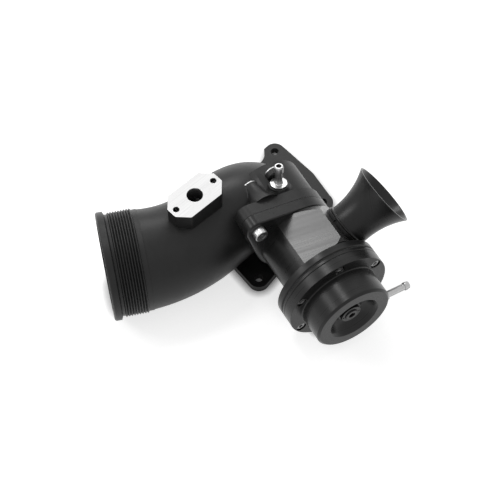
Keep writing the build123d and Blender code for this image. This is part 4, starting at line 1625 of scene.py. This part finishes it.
@dataclass
class Inside(Assembly):
    """Soft and springy pieces that work inside the valve.

    Args:
        plate_back: station of the back of the diaphragm at its middle.
        rim_back: station of the back of its clamped rim.
        thickness: thickness of the diaphragm.
        hole_r: radius of its hole.
        roll_foot: radius where its roll leaves the plate.
        roll_top: radius where the roll meets the rim.
        rim_r: radius of its rim.
        rounding: rounding of its edges, as a share of its thickness.
        spring_r: radius of the spring, to the middle of the wire.
        wire_r: radius of the wire.
        spring_low: station of the spring's foot.
        spring_high: station of its top.
        turns: turns of the spring.
        steps: rings of the wire in each turn.
        wire_sides: faces round the wire.
        lift: travel of the valve, in millimetres.
    """

    plate_back: float = 92.4
    rim_back: float = 96.5
    thickness: float = 1.0
    hole_r: float = 3.05
    roll_foot: float = 21.4
    roll_top: float = 25.6
    rim_r: float = 39.8
    rounding: float = 0.4
    spring_r: float = 13.5
    wire_r: float = 1.1
    spring_low: float = 94.9
    spring_high: float = 115.5
    turns: float = 4.5
    steps: int = 48
    wire_sides: int = 14
    lift: float = 7.0

    def build(self) -> None:
        """Make the diaphragm and the main spring."""
        self._diaphragm()
        self._spring()

    def _diaphragm(self) -> None:
        """Turn the rubber disc, whose middle moves with the valve and whose rim is clamped."""
        back, rim, thick = self.plate_back, self.rim_back, self.thickness
        outline = [
            (back, self.hole_r), (back, self.roll_foot), (rim, self.roll_top), (rim, self.rim_r),
            (rim + thick, self.rim_r), (rim + thick, self.roll_top - thick / 2),
            (back + thick, self.roll_foot - thick / 2), (back + thick, self.hole_r),
        ]
        disc = self.bench.turn("rolled_diaphragm", outline, self.bench.sides)
        self.bench.soften(disc, thick * self.rounding)
        self.fit(disc, [VALVE.matrix()], Slot.RUBBER, "diaphragm", body=None)
        start, end = (VALVE.matrix(station).translation for station in (back + thick, rim))
        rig.blend(disc, Body.VALVE.value, Body.FIXED.value, start=tuple(start), end=tuple(end))

    def _spring(self) -> None:
        """Wind the main spring, which shortens as the valve lifts."""
        length = self.spring_high - self.spring_low
        clear_selection()
        bpy.ops.mesh.primitive_circle_add(
            vertices=self.wire_sides,
            radius=self.wire_r * MM,
            location=(self.spring_r * MM, 0.0, (self.spring_low + self.wire_r) * MM),
            rotation=(math.pi / 2, 0.0, 0.0),
        )
        spring = bpy.context.object
        spring.name = "wound_spring"
        bpy.ops.object.transform_apply(location=True, rotation=True, scale=True)
        wind = spring.modifiers.new("wind", "SCREW")
        wind.axis = "Z"
        wind.angle = 2 * math.pi * self.turns
        wind.screw_offset = (length - 2 * self.wire_r) * MM
        wind.steps = wind.render_steps = int(self.steps * self.turns)
        bpy.ops.object.modifier_apply(modifier=wind.name)
        with editing():
            bpy.ops.mesh.fill_holes(sides=0)
            bpy.ops.mesh.normals_make_consistent(inside=False)
        self.fit(spring, [VALVE.matrix()], Slot.STEEL, "main_spring")
        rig.squash(
            spring,
            "valve_lift",
            axis=tuple(VALVE.along),
            anchor=tuple(VALVE.matrix(self.spring_high).translation),
            keep=(length - self.lift) / length,
        )


def stand(data: bpy.types.ID, place: Vector, towards: Vector) -> Piece:
    """Stand a lamp or a camera in the room, facing a direction.

    Args:
        data: the lamp or the camera.
        place: where it stands, in metres.
        towards: the direction that it faces.

    Returns:
        Its object, with the same name.
    """
    thing = bpy.data.objects.new(data.name, data)
    bpy.context.scene.collection.objects.link(thing)
    thing.location = place
    thing.rotation_euler = towards.to_track_quat("-Z", "Y").to_euler()
    return thing


@dataclass(frozen=True)
class Lamp:
    """Soft lamp that faces the part.

    Args:
        name: the lamp's name.
        place: where it hangs, in metres.
        size: width and height of its face, in metres.
        power: in watts.
    """

    name: str
    place: Triple
    size: Point
    power: float

    def hang(self, aim: Vector) -> None:
        """Hang the lamp with its face towards a point.

        Args:
            aim: the point, in metres.
        """
        data = bpy.data.lights.new(self.name, "AREA")
        data.shape = "RECTANGLE"
        data.size, data.size_y = self.size
        data.energy = self.power
        stand(data, Vector(self.place), aim - Vector(self.place))


@dataclass
class Studio:
    """Pale floor, soft light and the camera of the photograph.

    Args:
        azimuth: where the camera stands round the part, in degrees.
        elevation: how far above the horizon it stands, in degrees.
        distance: from the camera to the point it looks at, in metres.
        lens: focal length, in millimetres.
        sensor: width of the sensor, in millimetres.
        target: point that the camera and the lamps look at, in millimetres.
        shift: camera shift that the photograph's framing needs.
        floor_size: width of the floor, in metres.
        floor_colour: grey of the floor.
        floor_rough: roughness of the floor.
        floor_gloss: specular level of the floor.
        floor_glow: light that the floor itself seems to give, away from the part.
        shade_reach: how near the part has to be to dim that glow, in metres.
        shade_power: how fast the glow dims there.
        sky: strength of the room's even light.
        lamps: the soft lamps.
    """

    azimuth: float = -43.79
    elevation: float = 57.95
    distance: float = 1.25
    lens: float = 120.96
    sensor: float = 36.0
    target: Triple = (-20.0, -40.0, 40.0)
    shift: Point = (-0.0548, -0.0217)
    floor_size: float = 12.0
    floor_colour: float = 0.80
    floor_rough: float = 0.9
    floor_gloss: float = 0.1
    floor_glow: float = 0.66
    shade_reach: float = 0.007
    shade_power: float = 3.0
    sky: float = 0.50
    lamps: tuple[Lamp, ...] = (
        Lamp("window", (-0.54, 0.55, 0.66), (0.42, 0.26), 1.7),
        Lamp("strip", (-0.05, 0.37, 0.95), (0.16, 0.24), 1.6),
        Lamp("back", (0.54, 0.55, 0.66), (0.50, 0.24), 3.0),
    )

    def build(self) -> None:
        """Make the floor, the world, the lamps and the camera."""
        aim = Vector(self.target) * MM
        self._floor()
        self._world()
        for lamp in self.lamps:
            lamp.hang(aim)
        self._camera(aim)

    @staticmethod
    def _seen(tree: Tree) -> Socket:
        """Tell the rays that show the background from those that light the part.

        Args:
            tree: the tree that the answer is for.

        Returns:
            1 for camera, glossy and transmission rays, and 0 for the others.
        """
        path = tree.add("ShaderNodeLightPath").outputs
        glossy = tree.math("MAXIMUM", path["Is Camera Ray"], path["Is Glossy Ray"])
        return tree.math("MAXIMUM", glossy, path["Is Transmission Ray"])

    def _floor(self) -> None:
        """Lay the pale floor that the part stands on."""
        clear_selection()
        bpy.ops.mesh.primitive_plane_add(size=self.floor_size)
        floor = bpy.context.object
        floor.name = "floor"
        material = bpy.data.materials.new("pale_floor")
        material.use_nodes = True
        tree = Tree(material.node_tree)
        # Ambient occlusion dims the floor's glow near the part: painted shade under it and in its holes.
        reach = {"Distance": self.shade_reach}
        shade = tree.add("ShaderNodeAmbientOcclusion", reach, samples=8).outputs["AO"]
        shade = tree.math("POWER", shade, self.shade_power)
        glow = tree.math("MULTIPLY", self._seen(tree), shade)
        tree.feed(
            material.node_tree.nodes["Principled BSDF"],
            {
                "Base Color": grey(self.floor_colour),
                "Roughness": self.floor_rough,
                "Specular IOR Level": self.floor_gloss,
                "Emission Color": grey(1.0),
                "Emission Strength": tree.math("MULTIPLY", glow, self.floor_glow),
            },
        )
        floor.data.materials.append(material)
        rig.stage(floor)

    def _world(self) -> None:
        """Light the room evenly and show it white behind the part."""
        world = bpy.data.worlds.new("room")
        world.use_nodes = True
        bpy.context.scene.world = world
        tree = Tree(world.node_tree)
        levels = {"Factor": self._seen(tree), "A": self.sky, "B": 1.0}
        strength = tree.add("ShaderNodeMix", levels, data_type="FLOAT").outputs["Result"]
        background = world.node_tree.nodes["Background"]
        tree.feed(background, {"Color": grey(1.0), "Strength": strength})

    def _camera(self, aim: Vector) -> None:
        """Stand the camera where the photograph was taken from.

        Args:
            aim: point that it looks at, in metres.
        """
        side, rise = math.radians(self.azimuth), math.radians(self.elevation)
        level = math.cos(rise)
        back = Vector((math.sin(side) * level, -math.cos(side) * level, math.sin(rise)))
        data = bpy.data.cameras.new("photo_camera")
        data.lens = self.lens
        data.sensor_width = self.sensor
        data.shift_x, data.shift_y = self.shift
        bpy.context.scene.camera = stand(data, aim + back * self.distance, -back)


def assemblies(bench: Bench, wardrobe: Wardrobe) -> list[Assembly]:
    """List every sub-assembly that is made anew.

    Args:
        bench: the tools that they share.
        wardrobe: the materials that they share.

    Returns:
        The sub-assemblies, ready to build.
    """
    shared = bench, wardrobe
    casting, cap = Casting(*shared), CapEnd(*shared)
    cap_screws = SocketScrew(
        *shared, "cap_screw_set", "cap_screws",
        thread_r=2.0, head_r=3.5, head_h=3.6, key=3.0, shank=13.4,
        seat=cap.screw_seat(), pitch_r=cap.screw_pitch_r, angles=CAP_SCREWS,
    )
    flange_screws = SocketScrew(
        *shared, "flange_screw_pair", "flange_screws",
        thread_r=3.0, head_r=5.3, head_h=6.0, key=5.0, shank=17.6,
        seat=48.6, pitch_r=45.0, angles=(135.0, -45.0),
    )
    neck_tail = HoseTail(
        *shared, "neck_tail", "elbow_hose_tail", casting.tail_axis(),
        reach=17.6, stub=8.0, tube_r=2.8, barb_r=3.7, collar_r=6.4, collar_t=1.2,
        land=4.2, slope=1.3, tip_r=3.1,
    )
    cap_tail = HoseTail(
        *shared, "cap_tail", "cap_hose_tail", cap.tail_axis(),
        reach=20.9, stub=7.0, tube_r=2.5, barb_r=3.1, collar_r=3.7, collar_t=2.0,
        land=1.6, slope=2.6, tip_r=2.5,
    )
    return [
        casting, BodyShell(*shared), ClampPlate(*shared), cap, Trumpet(*shared),
        cap_screws, flange_screws, neck_tail, cap_tail, Inside(*shared),
    ]


def write_sizes() -> None:
    boxes = [[list(corner) for corner in box] for box in (CAD_BOX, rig.bounds())]
    with open(SIZE_FILE, "w") as file:
        json.dump(boxes, file)


def main() -> None:
    """Build the whole scene around the frame."""
    logging.basicConfig(level=logging.INFO, format="%(name)s: %(message)s")
    bpy.context.scene.view_settings.view_transform = "Standard"
    wardrobe = Wardrobe()
    wardrobe.dress_nodes()
    for assembly in assemblies(Bench(), wardrobe):
        assembly.build()
    Studio().build()
    write_sizes()


if __name__ == "__main__":
    main()
